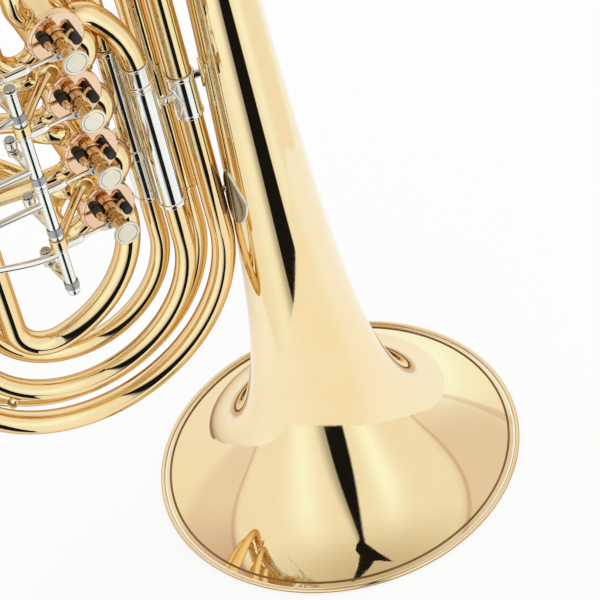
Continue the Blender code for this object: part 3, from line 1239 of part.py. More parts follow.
def centre_on_floor():
    """Move the whole instrument so that the origin lies under the middle of its box."""
    bpy.context.view_layer.update()
    corners = np.array([item.matrix_world @ vertex.co for item in bpy.data.objects
                        if item.type == "MESH" for vertex in item.data.vertices])
    low, high = corners.min(axis=0), corners.max(axis=0)
    instrument.location = (-(low[0] + high[0]) / 2, -(low[1] + high[1]) / 2, -low[2])
    bpy.context.view_layer.update()
    print("box", (high - low).round(5), "layout origin at", instrument.location[:])
    for item in bpy.data.objects:
        if item.type == "MESH" and item.location.length > 0:
            print("pivot", item.name, [round(v, 6) for v in item.matrix_world.translation])


def main():
    bpy.context.collection.objects.link(instrument)
    make_bell()
    make_bell_bow()
    make_outer_bow()
    make_crossover()
    make_exit_tube()
    make_leadpipe()
    make_tuning_slide()
    make_water_key()
    make_inlet_bend()
    for number in range(1, VALVE_COUNT + 1):
        make_casing(number)
        make_rotor(number)
        make_bearing_plate(number)
        make_stop_arm(number)
        make_link(number)
        make_lever(number)
    make_hinge()
    make_third_slide()
    make_fourth_slide()
    make_first_slide()
    make_second_slide()
    make_braces()
    centre_on_floor()


main()
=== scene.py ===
# %% [markdown]
# # A bass trumpet with four rotary valves
# The frame that the CAD part packs into is loaded first: its bodies, joints and solids.
# Every piece below is laid over one of those solids and rides on the same body.
# All lengths are metres, and the bell stands on its rim with its axis upright.

# %% Load the frame
import math
import bmesh
import bpy
import numpy as np
from mathutils import Matrix, Vector


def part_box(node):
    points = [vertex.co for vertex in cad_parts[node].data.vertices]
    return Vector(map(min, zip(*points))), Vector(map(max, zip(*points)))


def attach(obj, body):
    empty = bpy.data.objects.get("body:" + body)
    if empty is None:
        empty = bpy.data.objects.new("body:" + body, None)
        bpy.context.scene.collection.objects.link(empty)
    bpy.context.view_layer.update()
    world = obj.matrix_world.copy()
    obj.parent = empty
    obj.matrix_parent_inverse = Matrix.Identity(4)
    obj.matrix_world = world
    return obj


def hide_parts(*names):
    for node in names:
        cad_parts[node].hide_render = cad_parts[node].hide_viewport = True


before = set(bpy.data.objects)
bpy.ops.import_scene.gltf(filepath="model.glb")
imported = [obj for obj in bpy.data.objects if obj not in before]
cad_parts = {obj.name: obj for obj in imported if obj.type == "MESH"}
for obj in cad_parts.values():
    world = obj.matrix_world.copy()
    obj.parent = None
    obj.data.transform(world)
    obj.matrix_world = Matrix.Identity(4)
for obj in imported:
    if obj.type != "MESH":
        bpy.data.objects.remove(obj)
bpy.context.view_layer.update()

# %% [markdown]
# The instrument is laid out about the bell's axis, and the frame is centred on the whole box.
# The rim wire is round the bell's axis, so the middle of its box gives the shift between them.

# %% Shift from the layout to the frame
rim_low, rim_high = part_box("bell_rim_wire")
SHIFT = np.array([(rim_low.x + rim_high.x) / 2, (rim_low.y + rim_high.y) / 2, 0.0])
print("layout shift", SHIFT.round(5))

# %% [markdown]
# The same driving sizes as in the CAD source: tube radii, the planes in which the branches
# lie, and the places of the legs, bows and valves.

# %% Sizes of the instrument
GAP, WALL, STEP = 0.0003, 0.0006, 0.0004
BELL_RADIUS, BELL_HEIGHT, BELL_EDGE, RIM_LIFT = 0.100, 0.405, 0.0014, 0.0007
RIM_WIRE_RADIUS, BELL_TAIL_RADIUS, BELL_TAPER = 0.00115, 0.02157, 0.0187
FLARE_DEPTH, FLARE_POWER = 0.0444, 1.635
MAIN_TUBE, TUNING_TUBE, VALVE_TUBE, LEADPIPE_TUBE = 0.00625, 0.00545, 0.0050, 0.0058
TUNING_SLEEVE, VALVE_SLEEVE = TUNING_TUBE + GAP + WALL, VALVE_TUBE + GAP + WALL
FRONT_Y, PORT_Y, MIDDLE_Y, BACK_Y = -0.006, -0.004, 0.007, 0.020
RISER_Y, FIRST_SLIDE_Y, LEADPIPE_Y = 0.038, 0.021, -0.026
INNER_LEG_X, OUTER_BOW_RADIUS, OUTER_BOW_Z = -0.0292, 0.082, 0.188
LEFT_LEG_X = INNER_LEG_X - 2 * OUTER_BOW_RADIUS
FERRULE_BOTTOM, FERRULE_TOP, BOW_FERRULE = 0.2660, 0.2930, 0.020
EXIT_LEG_X, EXIT_LEG_JOINT_Z, CROSSOVER_Z = -0.150, 0.330, 0.395
EXIT_ARC = (-0.1343, 0.2332, 0.0565)
EXIT_START_ANGLE, EXIT_TURN_ANGLE = 3.0, -83.0
INLET_ARC_Z, INLET_ARC_RADIUS, INLET_JOINT_ANGLE, INLET_BEND_ANGLE = 0.318, 0.063, 27.0, 38.0
INLET_LEAD = 6.0
TUNING_LEG_X, TUNING_BOW_RADIUS, TUNING_BOW_Z, TUNING_LEG_LENGTH = -0.0533, 0.062, 0.203, 0.092
TUNING_LEFT_X = TUNING_LEG_X - 2 * TUNING_BOW_RADIUS
TUNING_SLEEVE_BOTTOM, TUNING_SLEEVE_TOP, TUNING_RING_Z = 0.2285, 0.3206, 0.3065
RECEIVER_BOTTOM, RECEIVER_LENGTH = 0.500, 0.068
VALVE_X, FOURTH_VALVE_Z, VALVE_SPACING = -0.0874, 0.2507, 0.03675
CASING_RADIUS, CASING_FRONT, CASING_BACK = 0.0140, -0.0120, 0.0170
PLATE_RADIUS, PLATE_FRONT, PORT_REACH, MAIN_PORT_REACH = 0.01415, -0.0150, 0.0146, 0.0155
CRANK_SIDE = 0.0049 / math.sqrt(2)
ARM_FRONT, CAP_DISC_FRONT, CAP_DISC_RADIUS = -0.0200, -0.0375, 0.0067
RIGHT_BUMPER, LEFT_BUMPER = (0.0072, 0.0001), (-0.0066, 0.0029)
HINGE_X, SHORT_ARM, LEVER_TURN = -0.122, 0.020, 20.0
LINK_Y = ARM_FRONT - 0.0019
HINGE_Y = LINK_Y - SHORT_ARM * (1 + math.cos(math.radians(LEVER_TURN / 2))) / 2
HINGE_ROD_RADIUS, LEVER_HUB_RADIUS, POST_BOSS_X = 0.0016, 0.0034, -0.0970
TOUCH_X, TOUCH_SPACING, TOUCH_LENGTH, TOUCH_WIDTH = -0.182, 0.022, 0.020, 0.0178
THIRD_LEG_X, THIRD_BOW_RADIUS, THIRD_BOW_Z = -0.0615, 0.0502, 0.203
THIRD_LEFT_X = THIRD_LEG_X - 2 * THIRD_BOW_RADIUS
THIRD_SLEEVE_BOTTOM, THIRD_SLEEVE_TOP, THIRD_LEFT_SLEEVE_TOP = 0.2280, 0.3270, 0.2577
THIRD_COLLAR, THIRD_TOP_Z, THIRD_RISER_Y = (0.256, 0.262), 0.355, 0.027
FOURTH_LEG_X, FOURTH_BOW_RADIUS, FOURTH_BOW_Z = -0.038, 0.074, 0.187
FOURTH_LEFT_X = FOURTH_LEG_X - 2 * FOURTH_BOW_RADIUS
FOURTH_SLEEVE_BOTTOM, FOURTH_SLEEVE_TOP, FOURTH_LEG_LENGTH = 0.212, 0.345, 0.110
FOURTH_LEFT_SLEEVE_TOP = 0.318
FIRST_ELBOW_RADIUS, FIRST_SLEEVE_BOTTOM, FIRST_SLEEVE_TOP = 0.0115, 0.425, 0.462
FIRST_BOW_Z, SECOND_SLEEVE_START, SECOND_SLEEVE_END = 0.468, -0.128, -0.146
SECOND_BOW_X, BRACE_Z, LEFT_STAY_Z, LEAF_Z = -0.149, 0.2885, 0.262, 0.2115
DIAGONAL = 1 / math.sqrt(2)
X_AXIS, Y_AXIS, Z_AXIS = np.eye(3)
print("legs from", round(LEFT_LEG_X, 4), "to", INNER_LEG_X)

# %% [markdown]
# ## Finishes
# Brass is a metal with a clear lacquer on it. A Principled shader with Metallic at 1 takes its
# colour from the base colour, and the lacquer is a thin coat. Real tubes are never even: noise
# in three sizes tints the metal, makes faint wiping marks and leaves a very light orange peel.
# The patterns read Object coordinates, so they stay on a piece when it moves.

# %% A metal or rubber finish
def finish(name, colour, tint, roughness, rough_spread, metallic=1.0, coat=0.0, grain=0.00001,
           marks=(1.0, 1.0, 1.0), edge=(1.0, 1.0, 1.0)):
    """Material whose colour runs from colour to tint, and whose gloss and height vary a little."""
    material = bpy.data.materials.new(name)
    material.use_nodes = True
    tree = material.node_tree
    shader = tree.nodes["Principled BSDF"]
    shader.inputs["Metallic"].default_value = metallic
    shader.inputs["Coat Weight"].default_value = coat
    shader.inputs["Coat Roughness"].default_value = 0.03
    shader.inputs["Specular Tint"].default_value = (*edge, 1.0)
    place = tree.nodes.new("ShaderNodeTexCoord")
    stretch = tree.nodes.new("ShaderNodeMapping")
    stretch.inputs["Scale"].default_value = marks
    tree.links.new(place.outputs["Object"], stretch.inputs["Vector"])

    def noise(scale, detail, source):
        texture = tree.nodes.new("ShaderNodeTexNoise")
        texture.inputs["Scale"].default_value = scale
        texture.inputs["Detail"].default_value = detail
        tree.links.new(source, texture.inputs["Vector"])
        return texture.outputs["Fac"]

    def spread(fac, low, high, from_low=0.3, from_high=0.7):
        scale = tree.nodes.new("ShaderNodeMapRange")
        scale.inputs["From Min"].default_value = from_low
        scale.inputs["From Max"].default_value = from_high
        scale.inputs["To Min"].default_value = low
        scale.inputs["To Max"].default_value = high
        tree.links.new(fac, scale.inputs["Value"])
        return scale.outputs["Result"]

    cloud = spread(noise(38.0, 4.0, place.outputs["Object"]), 0.0, 1.0)
    mix = tree.nodes.new("ShaderNodeMix")
    mix.data_type = "RGBA"
    mix.inputs["A"].default_value = (*colour, 1.0)
    mix.inputs["B"].default_value = (*tint, 1.0)
    tree.links.new(cloud, mix.inputs["Factor"])
    tree.links.new(mix.outputs["Result"], shader.inputs["Base Color"])
    wiping = noise(240.0, 6.0, stretch.outputs["Vector"])
    tree.links.new(spread(wiping, roughness, roughness + rough_spread), shader.inputs["Roughness"])
    bump = tree.nodes.new("ShaderNodeBump")
    bump.inputs["Strength"].default_value = 0.35
    bump.inputs["Distance"].default_value = grain
    tree.links.new(noise(420.0, 3.0, place.outputs["Object"]), bump.inputs["Height"])
    tree.links.new(bump.outputs["Normal"], shader.inputs["Normal"])
    material.diffuse_color = (*colour, 1.0)
    return material


# %% [markdown]
# The colours are written in linear light. Yellow brass for tubes and bell, nickel silver for
# ferrules, sleeves and stays, copper-coloured rose brass for the valves' plates, and a browner
# brass for the hubs, which carry less lacquer.

# %% The finishes
BRASS = finish("lacquered brass", (0.92, 0.725, 0.405), (0.905, 0.70, 0.375), 0.02, 0.035,
               coat=0.1, marks=(1.0, 1.0, 0.25), edge=(0.62, 0.34, 0.12), grain=0.000003)
BELL_BRASS = finish("bell brass", (0.92, 0.735, 0.42), (0.91, 0.715, 0.395), 0.02, 0.03, coat=0.2)
# Dark brown finish that is painted shade: the dark line in the crease between the bell's flare and
# its rim wire.
CREASE_SHADE = finish("painted crease shade", (0.30, 0.17, 0.075), (0.16, 0.085, 0.035), 0.25, 0.2)
# A darker, browner nickel colour, used only on the leaf plate.
DARK_NICKEL = finish("dark nickel", (0.34, 0.27, 0.17), (0.20, 0.15, 0.09), 0.06, 0.08)
NICKEL = finish("nickel silver", (0.90, 0.885, 0.82), (0.82, 0.80, 0.72), 0.05, 0.07)
ROSE = finish("rose brass", (0.89, 0.64, 0.44), (0.85, 0.55, 0.35), 0.03, 0.04, coat=0.1)
HUB_BRASS = finish("hub brass", (0.80, 0.55, 0.27), (0.62, 0.38, 0.17), 0.10, 0.14)
DISC_SILVER = finish("silvered disc", (0.88, 0.82, 0.67), (0.80, 0.73, 0.57), 0.08, 0.08,
                     grain=0.00003)
STEEL = finish("steel", (0.56, 0.57, 0.58), (0.42, 0.43, 0.45), 0.16, 0.14)
RUBBER = finish("black rubber", (0.012, 0.012, 0.013), (0.030, 0.029, 0.028), 0.55, 0.2,
                metallic=0.0, grain=0.00008)
CORK = finish("cork", (0.42, 0.25, 0.12), (0.25, 0.13, 0.06), 0.75, 0.15, metallic=0.0,
              grain=0.0002)
print("finishes", len(bpy.data.materials))

# %% [markdown]
# ## Shapes as whole arrays
# Each shape is a grid of points: rows along the piece, columns round it. The columns always
# close into a ring. The rows either close too, as on a tube with an outer and an inner wall, or
# end in a point, as on a rod.


def quads(rows, columns, offset, looped):
    """Corners of the quads of a grid that closes round its columns, and on its rows if looped."""
    row = np.arange(rows if looped else rows - 1)[:, None]
    column = np.arange(columns)[None, :]
    here, there = row * columns, (row + 1) % rows * columns
    beside = (column + 1) % columns
    corners = np.stack([here + column, here + beside, there + beside, there + column], axis=-1)
    return corners.reshape(-1, 4) + offset


def outward(points, faces):
    """Faces turned so that the closed shell's volume, the sum of its tetrahedra, is positive."""
    a, b, c, d = (points[faces[:, k]] for k in range(4))
    middle = points.mean(axis=0)
    volume = (np.cross(b - a, c - a) * (a - middle)).sum()
    volume += (np.cross(c - a, d - a) * (a - middle)).sum()
    return faces if volume > 0 else faces[:, ::-1]


def add_piece(name, grids, material, body="root", node=None, sharp=50.0):
    """Piece from (grid, looped) pairs, in a material, riding on a body, in place of a node."""
    points, faces, offset = [], [], 0
    for grid, looped in grids:
        rows, columns = grid.shape[:2]
        flat = grid.reshape(-1, 3)
        faces.append(outward(flat, quads(rows, columns, 0, looped)) + offset)
        points.append(flat)
        offset += len(flat)
    points = np.vstack(points) + SHIFT
    mesh = bpy.data.meshes.new(name)
    mesh.from_pydata(points.tolist(), [], np.vstack(faces).tolist())
    work = closed_mesh(mesh)
    work.materials.append(material)
    work.shade_smooth()
    work.set_sharp_from_angle(angle=math.radians(sharp))
    piece = bpy.data.objects.new(name, work)
    bpy.context.collection.objects.link(piece)
    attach(piece, body)
    if node:
        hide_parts(node)
    return piece


# %% [markdown]
# A ring of points with no radius is a pole. Its points are merged, which closes the shell.

# %% Close the poles
def closed_mesh(mesh):
    """The mesh with points less than a micrometre apart merged and empty faces dropped."""
    work = bmesh.new()
    work.from_mesh(mesh)
    bmesh.ops.remove_doubles(work, verts=work.verts, dist=1e-6)
    bmesh.ops.dissolve_degenerate(work, edges=work.edges, dist=1e-7)
    work.to_mesh(mesh)
    work.free()
    return mesh


# %% [markdown]
# Paths are arcs, S-shaped runs and smooth curves through a few points, joined end to end. They
# follow the same routes as the CAD tubes but with many more stations.

# %% Paths of the tubes
def polar(angle):
    """Direction at an angle in degrees from +X towards +Z."""
    return np.array([math.cos(math.radians(angle)), 0.0, math.sin(math.radians(angle))])


def arc(centre_x, centre_z, radius, start, end, y_start, y_end=None, steps=48):
    """Arc in the XZ plane: centre plus radius times (cos, sin), while y eases by a cosine."""
    share = np.linspace(0.0, 1.0, steps + 1)
    angle = np.radians(start + (end - start) * share)
    y_end = y_start if y_end is None else y_end
    return np.stack([centre_x + radius * np.cos(angle),
                     y_start + (y_end - y_start) * (1 - np.cos(np.pi * share)) / 2,
                     centre_z + radius * np.sin(angle)], axis=1)


def shift_run(start, end, steps=24):
    """S-shaped run: even steps along its longest side, cosine easing on the other two."""
    start, end = np.array(start, float), np.array(end, float)
    share = np.linspace(0.0, 1.0, steps + 1)[:, None]
    along = np.argmax(np.abs(end - start)) == np.arange(3)
    return start + (end - start) * np.where(along, share, (1 - np.cos(np.pi * share)) / 2)


def smooth_run(points, steps=10):
    """Cubic through the middle points, with slopes from each point's neighbours by distance."""
    points = np.array(points, float)
    along = np.concatenate([[0.0], np.linalg.norm(np.diff(points, axis=0), axis=1).cumsum()])
    slope = (points[2:] - points[:-2]) / (along[2:] - along[:-2])[:, None]
    a, b = points[1:-2, None], points[2:-1, None]
    span = (along[2:-1] - along[1:-2])[:, None, None]
    t = (np.arange(steps) / steps)[None, :, None]
    curve = ((2 * t ** 3 - 3 * t ** 2 + 1) * a + (t ** 3 - 2 * t ** 2 + t) * span * slope[:-1, None]
             + (3 * t ** 2 - 2 * t ** 3) * b + (t ** 3 - t ** 2) * span * slope[1:, None])
    return np.vstack([curve.reshape(-1, 3), points[-2:-1]])


def joined_path(*runs):
    """One path out of several runs, without the points that repeat where they meet."""
    points = np.vstack([np.atleast_2d(run) for run in runs])
    apart = np.linalg.norm(np.diff(points, axis=0), axis=1) > 1e-5
    return points[np.concatenate([[True], apart])]


# %% [markdown]
# A tube is a circle carried along its path. The circle's spokes are turned as little as
# possible from one station to the next, so the walls never twist.

# %% Tubes and rods along a path
def spokes(path, sides, start=None, end=None):
    """Unit spokes square to the path: at each station the last normal less its part along it."""
    steps = np.diff(path, axis=0)
    steps /= np.linalg.norm(steps, axis=1)[:, None]
    tangents = np.vstack([steps[:1], steps[:-1] + steps[1:], steps[-1:]])
    if start is not None:
        tangents[0] = start
    if end is not None:
        tangents[-1] = end
    tangents /= np.linalg.norm(tangents, axis=1)[:, None]
    normal = np.eye(3)[np.argmin(np.abs(tangents[0]))]
    normals = []
    for tangent in tangents:
        normal = normal - tangent * (normal @ tangent)
        normal = normal / np.linalg.norm(normal)
        normals.append(normal)
    normals = np.array(normals)
    turn = (2 * np.pi * np.arange(sides) / sides)[None, :, None]
    return np.cos(turn) * normals[:, None] + np.sin(turn) * np.cross(tangents, normals)[:, None]


def tube(path, outer, inner=None, sides=40, start=None, end=None):
    """Path plus radius times spokes, outside there and inside back; or a rod with domed ends."""
    path = np.asarray(path, float)
    ways = spokes(path, sides, start, end)
    outer = np.broadcast_to(np.asarray(outer, float), (len(path),))[:, None, None]
    if inner is None:
        grid = np.concatenate([path[:1, None] + 0 * ways[:1], path[:, None] + outer * ways,
                               path[-1:, None] + 0 * ways[:1]])
        return grid, False
    inner = np.broadcast_to(np.asarray(inner, float), (len(path),))[:, None, None]
    return np.concatenate([path[:, None] + outer * ways,
                           (path[:, None] + inner * ways)[::-1]]), True


# %% [markdown]
# Ferrules, caps, hubs and discs are turned on a lathe. Their corners are never quite sharp, and
# the small round edges are what catches the light, so each corner of a profile becomes a short
# curve.

# %% Turned pieces
def rounded(profile, size, closed):
    """Profile whose corners are quadratic curves that start size away from the corner."""
    corner = np.array(profile, float)
    before, after = np.roll(corner, 1, axis=0), np.roll(corner, -1, axis=0)
    back, ahead = before - corner, after - corner
    length_back = np.linalg.norm(back, axis=1)[:, None] + 1e-12
    length_ahead = np.linalg.norm(ahead, axis=1)[:, None] + 1e-12
    first = back * np.minimum(0.45, size / length_back)
    last = ahead * np.minimum(0.45, size / length_ahead)
    t = np.array([-0.35, 0.0, 0.33, 0.67, 1.0, 1.35])[:, None, None]
    curve = np.where(t < 0, first * (1 - t), np.where(t > 1, last * t,
                     (1 - t) ** 2 * first + t ** 2 * last))
    curve = (corner + curve).transpose(1, 0, 2)
    if closed:
        return curve.reshape(-1, 2)
    return np.vstack([corner[:1], curve[1:-1].reshape(-1, 2), corner[-1:]])


def turned(profile, base, axis, soft=0.0003, sides=48, knurls=0, depth=0.0, knurled=(0, 0)):
    """Profile of (radius, height) turned about an axis; knurls are a cosine round the radius."""
    closed = profile[0][0] != 0 or profile[-1][0] != 0
    profile = rounded(profile, soft, closed)
    axis = np.array(axis, float) / np.linalg.norm(axis)
    side = np.cross(axis, np.eye(3)[np.argmin(np.abs(axis))])
    side /= np.linalg.norm(side)
    sides = max(sides, 4 * knurls)
    turn = 2 * np.pi * np.arange(sides) / sides
    ways = np.cos(turn)[:, None] * side + np.sin(turn)[:, None] * np.cross(axis, side)
    radius = np.repeat(profile[:, :1], sides, axis=1)
    band = (profile[:, 1:] > knurled[0]) & (profile[:, 1:] < knurled[1])
    radius = radius - np.where(band, depth * (1 - np.cos(knurls * turn)) / 2, 0.0)
    heights = profile[:, 1, None, None] * axis
    return np.array(base, float) + heights + radius[:, :, None] * ways, closed


def sleeve(radius, bore, bottom, top, rings, x, y):
    """Upright sleeve with a through bore, and raised rings given as (from, to, swell)."""
    profile = [(bore, bottom), (radius, bottom)]
    for low, high, swell in sorted(rings):
        profile += [(radius, low), (radius + swell, low + STEP), (radius + swell, high - STEP),
                    (radius, high)]
    profile += [(radius, top), (bore, top)]
    kept = [profile[0]]
    kept += [b for a, b in zip(profile, profile[1:]) if abs(a[0] - b[0]) + abs(a[1] - b[1]) > 1e-6]
    return turned(kept, (x, y, 0), Z_AXIS, 0.00025)


def soft_block(middle, along, across, height, power=0.25, rows=20, sides=40):
    """Rounded block: cosines and sines of two angles, each raised to a small power."""
    def strong(value):
        return np.sign(value) * np.abs(value) ** power

    lift = np.linspace(-np.pi / 2, np.pi / 2, rows)[:, None, None]
    turn = (2 * np.pi * np.arange(sides) / sides)[None, :, None]
    return (np.asarray(middle) + strong(np.cos(lift)) * strong(np.cos(turn)) * along
            + strong(np.cos(lift)) * strong(np.sin(turn)) * across
            + strong(np.sin(lift)) * height, False)


# %% [markdown]
# ## Bell
# The bell is spun from sheet: a slender cone that opens ever faster. An inverse power of the
# depth gives that curve. The wall is carried back inside at the sheet's thickness, and the edge
# is rolled over a wire, which is a ring of its own.

# %% Bell and rim
def bell_radius(height):
    """Tail radius less its taper, plus the spread times (1 + depth / 44 mm) to the power -1.6."""
    depth = height - RIM_LIFT
    spread = BELL_RADIUS - RIM_WIRE_RADIUS - BELL_TAIL_RADIUS
    return BELL_TAIL_RADIUS - BELL_TAPER * depth + spread * (1 + depth / FLARE_DEPTH) ** -FLARE_POWER


def make_bell(rings=220, sides=192):
    """Outer wall from the rim up, and inner wall back down, one sheet's thickness inside it."""
    share = np.linspace(0.0, 1.0, rings)
    height = BELL_EDGE + (BELL_HEIGHT - BELL_EDGE) * share ** 1.9
    radius = bell_radius(height)
    slope = np.gradient(radius, height)
    length = np.sqrt(1 + slope ** 2)
    inner = np.stack([radius - WALL / length, height + WALL * slope / length], axis=1)
    inner[-1, 1] = height[-1]
    profile = np.vstack([np.stack([radius, height], axis=1), inner[::-1]])
    turn = 2 * np.pi * np.arange(sides) / sides
    ring = np.stack([np.cos(turn), np.sin(turn), 0 * turn], axis=1)
    grid = profile[:, :1, None] * ring + profile[:, 1:, None] * Z_AXIS
    add_piece("bell", [(grid, True)], BELL_BRASS, node="bell")


def make_rim_wire(sides=192):
    """Ring whose section is a circle of the wire's radius about the edge of the bell; then a thin
    dark ring of painted shade on the flare just inside it.
    """
    turn, around = 2 * np.pi * np.arange(sides) / sides, 2 * np.pi * np.arange(20) / 20
    reach = BELL_RADIUS - RIM_WIRE_RADIUS + RIM_WIRE_RADIUS * np.cos(around)[None, :]
    grid = np.stack([reach * np.cos(turn)[:, None], reach * np.sin(turn)[:, None],
                     np.broadcast_to(RIM_WIRE_RADIUS * (1 + np.sin(around)), (sides, 20))], axis=2)
    add_piece("bell_rim_wire", [(grid, True)], BRASS, node="bell_rim_wire")
    # Painted shade: a thin dark ring on the flare just inside the wire stands for the dark line in
    # the crease.
    height = 0.0024
    middle, around = float(bell_radius(height)) + 0.0001, 2 * np.pi * np.arange(10) / 10
    reach = middle + 0.0006 * np.cos(around)[None, :]
    grid = np.stack([reach * np.cos(turn)[:, None], reach * np.sin(turn)[:, None],
                     np.broadcast_to(height + 0.0006 * np.sin(around), (sides, 10))], axis=2)
    add_piece("bell_rim_crease_shade", [(grid, True)], CREASE_SHADE, node="bell_rim_wire")


make_bell()
make_rim_wire()
print("bell tail radius", round(float(bell_radius(BELL_HEIGHT)), 5))

# %% [markdown]
# ## Bows and legs of the bell branch
# Tapered tube is bent into the bell bow, which grows into the bell's tail. Below it run the
# outer leg, the large bow and the inner leg. Nickel-silver ferrules cover the joints.

# %% Bell branch
def make_bell_bow():
    """Half circle whose radius shrinks from the bell's tail to the main tube, on short legs."""
    tail = float(bell_radius(BELL_HEIGHT))
    bottom = BELL_HEIGHT + GAP
    centre_z, half = bottom + BOW_FERRULE, -LEFT_LEG_X / 2
    bow = arc(-half, centre_z, half, 0, 180, 0.0, MIDDLE_Y, steps=96)
    path = joined_path((0, 0, bottom), bow, (LEFT_LEG_X, MIDDLE_Y, bottom))
    share = np.linspace(0.0, 1.0, len(bow))
    radii = tail + (MAIN_TUBE - tail) * share ** 0.85
    outer = np.concatenate([[tail], radii, [MAIN_TUBE]])
    add_piece("bell_bow", [tube(path, outer, outer - WALL, sides=56)], BRASS, node="bell_bow")
    for side, x, y, radius in (("right", 0, 0, tail), ("left", LEFT_LEG_X, MIDDLE_Y, MAIN_TUBE)):
        bands = [(bottom, bottom + 0.0022, STEP), (centre_z - 0.0022, centre_z, STEP)]
        ring = sleeve(radius + WALL, radius + 0.0001, bottom, centre_z, bands, x, y)
        add_piece(f"bell_bow_ferrule_{side}", [ring], NICKEL, node="bell_bow")


def make_outer_bow():
    """Straight leg, half circle and straight leg in one tube of the main radius."""
    joint = (FERRULE_BOTTOM + FERRULE_TOP) / 2
    path = joined_path((INNER_LEG_X, MIDDLE_Y, joint - GAP / 2),
                       arc(INNER_LEG_X - OUTER_BOW_RADIUS, OUTER_BOW_Z, OUTER_BOW_RADIUS, 0, -180,
                           MIDDLE_Y, steps=96),
                       (LEFT_LEG_X, MIDDLE_Y, BELL_HEIGHT))
    add_piece("outer_bow", [tube(path, MAIN_TUBE, MAIN_TUBE - WALL)], BRASS, node="outer_bow")
    bands = [(FERRULE_BOTTOM, FERRULE_BOTTOM + 0.0024, STEP),
             (FERRULE_TOP - 0.0024, FERRULE_TOP, STEP)]
    bore = MAIN_TUBE + GAP / 2
    ring = sleeve(bore + WALL + GAP / 2, bore, FERRULE_BOTTOM, FERRULE_TOP, bands, INNER_LEG_X,
                  MIDDLE_Y)
    add_piece("inner_leg_ferrule", [ring], NICKEL, node="inner_leg_ferrule")


make_bell_bow()
make_outer_bow()

# %% [markdown]
# ## Crossover bow, valve exit tube, inlet bend and leadpipe
# The air leaves the fourth valve downwards, turns up into the exit leg and crosses over the top
# to the inner leg. The leadpipe comes down from the mouthpiece receiver.

# %% Main tubes round the valves
def make_crossover():
    """Exit leg, half circle that eases back from the front plane, and the run down to the joint."""
    joint = (FERRULE_BOTTOM + FERRULE_TOP) / 2
    radius = (INNER_LEG_X - EXIT_LEG_X) / 2
    path = joined_path((EXIT_LEG_X, FRONT_Y, EXIT_LEG_JOINT_Z),
                       arc(EXIT_LEG_X + radius, CROSSOVER_Z, radius, 180, 0, FRONT_Y, MIDDLE_Y,
                           steps=96), (INNER_LEG_X, MIDDLE_Y, joint + GAP / 2))
    add_piece("crossover_bow", [tube(path, MAIN_TUBE, MAIN_TUBE - WALL)], BRASS,
              node="crossover_bow")
    low, high = EXIT_LEG_JOINT_Z, EXIT_LEG_JOINT_Z + BOW_FERRULE
    bands = [(low, low + 0.0022, STEP), (high - 0.0022, high, STEP)]
    ring = sleeve(MAIN_TUBE + WALL, MAIN_TUBE + 0.0001, low, high, bands, EXIT_LEG_X, FRONT_Y)
    add_piece("crossover_ferrule", [ring], NICKEL, node="crossover_bow")


def make_exit_tube():
    """Wide arc down from the fourth valve, then a tighter one up into the straight exit leg."""
    centre_x, centre_z, radius = EXIT_ARC
    reach = math.cos(math.radians(EXIT_TURN_ANGLE))
    rise = math.sin(math.radians(EXIT_TURN_ANGLE))
    turn_radius = (centre_x + radius * reach - EXIT_LEG_X) / (1 + reach)
    path = joined_path(
        arc(centre_x, centre_z, radius, EXIT_START_ANGLE, EXIT_TURN_ANGLE, PORT_Y, FRONT_Y),
        arc(centre_x + (radius - turn_radius) * reach, centre_z + (radius - turn_radius) * rise,
            turn_radius, EXIT_TURN_ANGLE, -180, FRONT_Y, steps=32),
        (EXIT_LEG_X, FRONT_Y, EXIT_LEG_JOINT_Z - GAP))
    add_piece("valve_exit_tube", [tube(path, MAIN_TUBE, MAIN_TUBE - WALL)], BRASS,
              node="valve_exit_tube")


def make_inlet_bend():
    """Short arc from the tuning sleeve to the joint on the first valve's boss."""
    rise = (TUNING_SLEEVE_TOP + GAP - INLET_ARC_Z) / INLET_ARC_RADIUS
    first = math.degrees(math.asin(rise)) + INLET_LEAD
    last = INLET_JOINT_ANGLE + math.degrees(0.98 * GAP / INLET_ARC_RADIUS)
    path = joined_path((TUNING_LEG_X, FRONT_Y, TUNING_SLEEVE_TOP + GAP),
                       arc(TUNING_LEG_X - INLET_ARC_RADIUS, INLET_ARC_Z, INLET_ARC_RADIUS, first,
                           last, FRONT_Y, PORT_Y, steps=24))
    add_piece("valve_inlet_bend", [tube(path, MAIN_TUBE, MAIN_TUBE - WALL, start=Z_AXIS)], BRASS,
              node="valve_inlet_bend")


def make_leadpipe():
    """Tapered tube with an S-shaped run forward, and the turned receiver on its top."""
    run = shift_run((TUNING_LEFT_X, FRONT_Y, 0.352), (TUNING_LEFT_X, LEADPIPE_Y, 0.430), steps=48)
    path = joined_path((TUNING_LEFT_X, FRONT_Y, TUNING_SLEEVE_TOP + GAP), run,
                       (TUNING_LEFT_X, LEADPIPE_Y, RECEIVER_BOTTOM - GAP))
    outer = np.interp(path[:, 2], [path[0, 2], path[-1, 2]], [MAIN_TUBE, LEADPIPE_TUBE])
    add_piece("leadpipe", [tube(path, outer, outer - WALL)], BRASS, node="leadpipe")
    top, radius = RECEIVER_BOTTOM + RECEIVER_LENGTH, 0.0074
    swell = radius + 0.0010
    profile = [(0.0050, RECEIVER_BOTTOM), (radius - 0.0008, RECEIVER_BOTTOM),
               (radius - 0.0002, RECEIVER_BOTTOM + 0.004), (radius, RECEIVER_BOTTOM + 0.008),
               (radius, top - 0.0182), (swell, top - 0.0172), (swell, top - 0.0142),
               (radius, top - 0.0132), (radius, top - 0.0042), (swell, top - 0.0032),
               (swell, top), (0.0066, top), (0.0061, top - 0.001)]
    add_piece("mouthpiece_receiver",
              [turned(profile, (TUNING_LEFT_X, LEADPIPE_Y, 0), Z_AXIS, 0.0004)], NICKEL,
              node="mouthpiece_receiver")


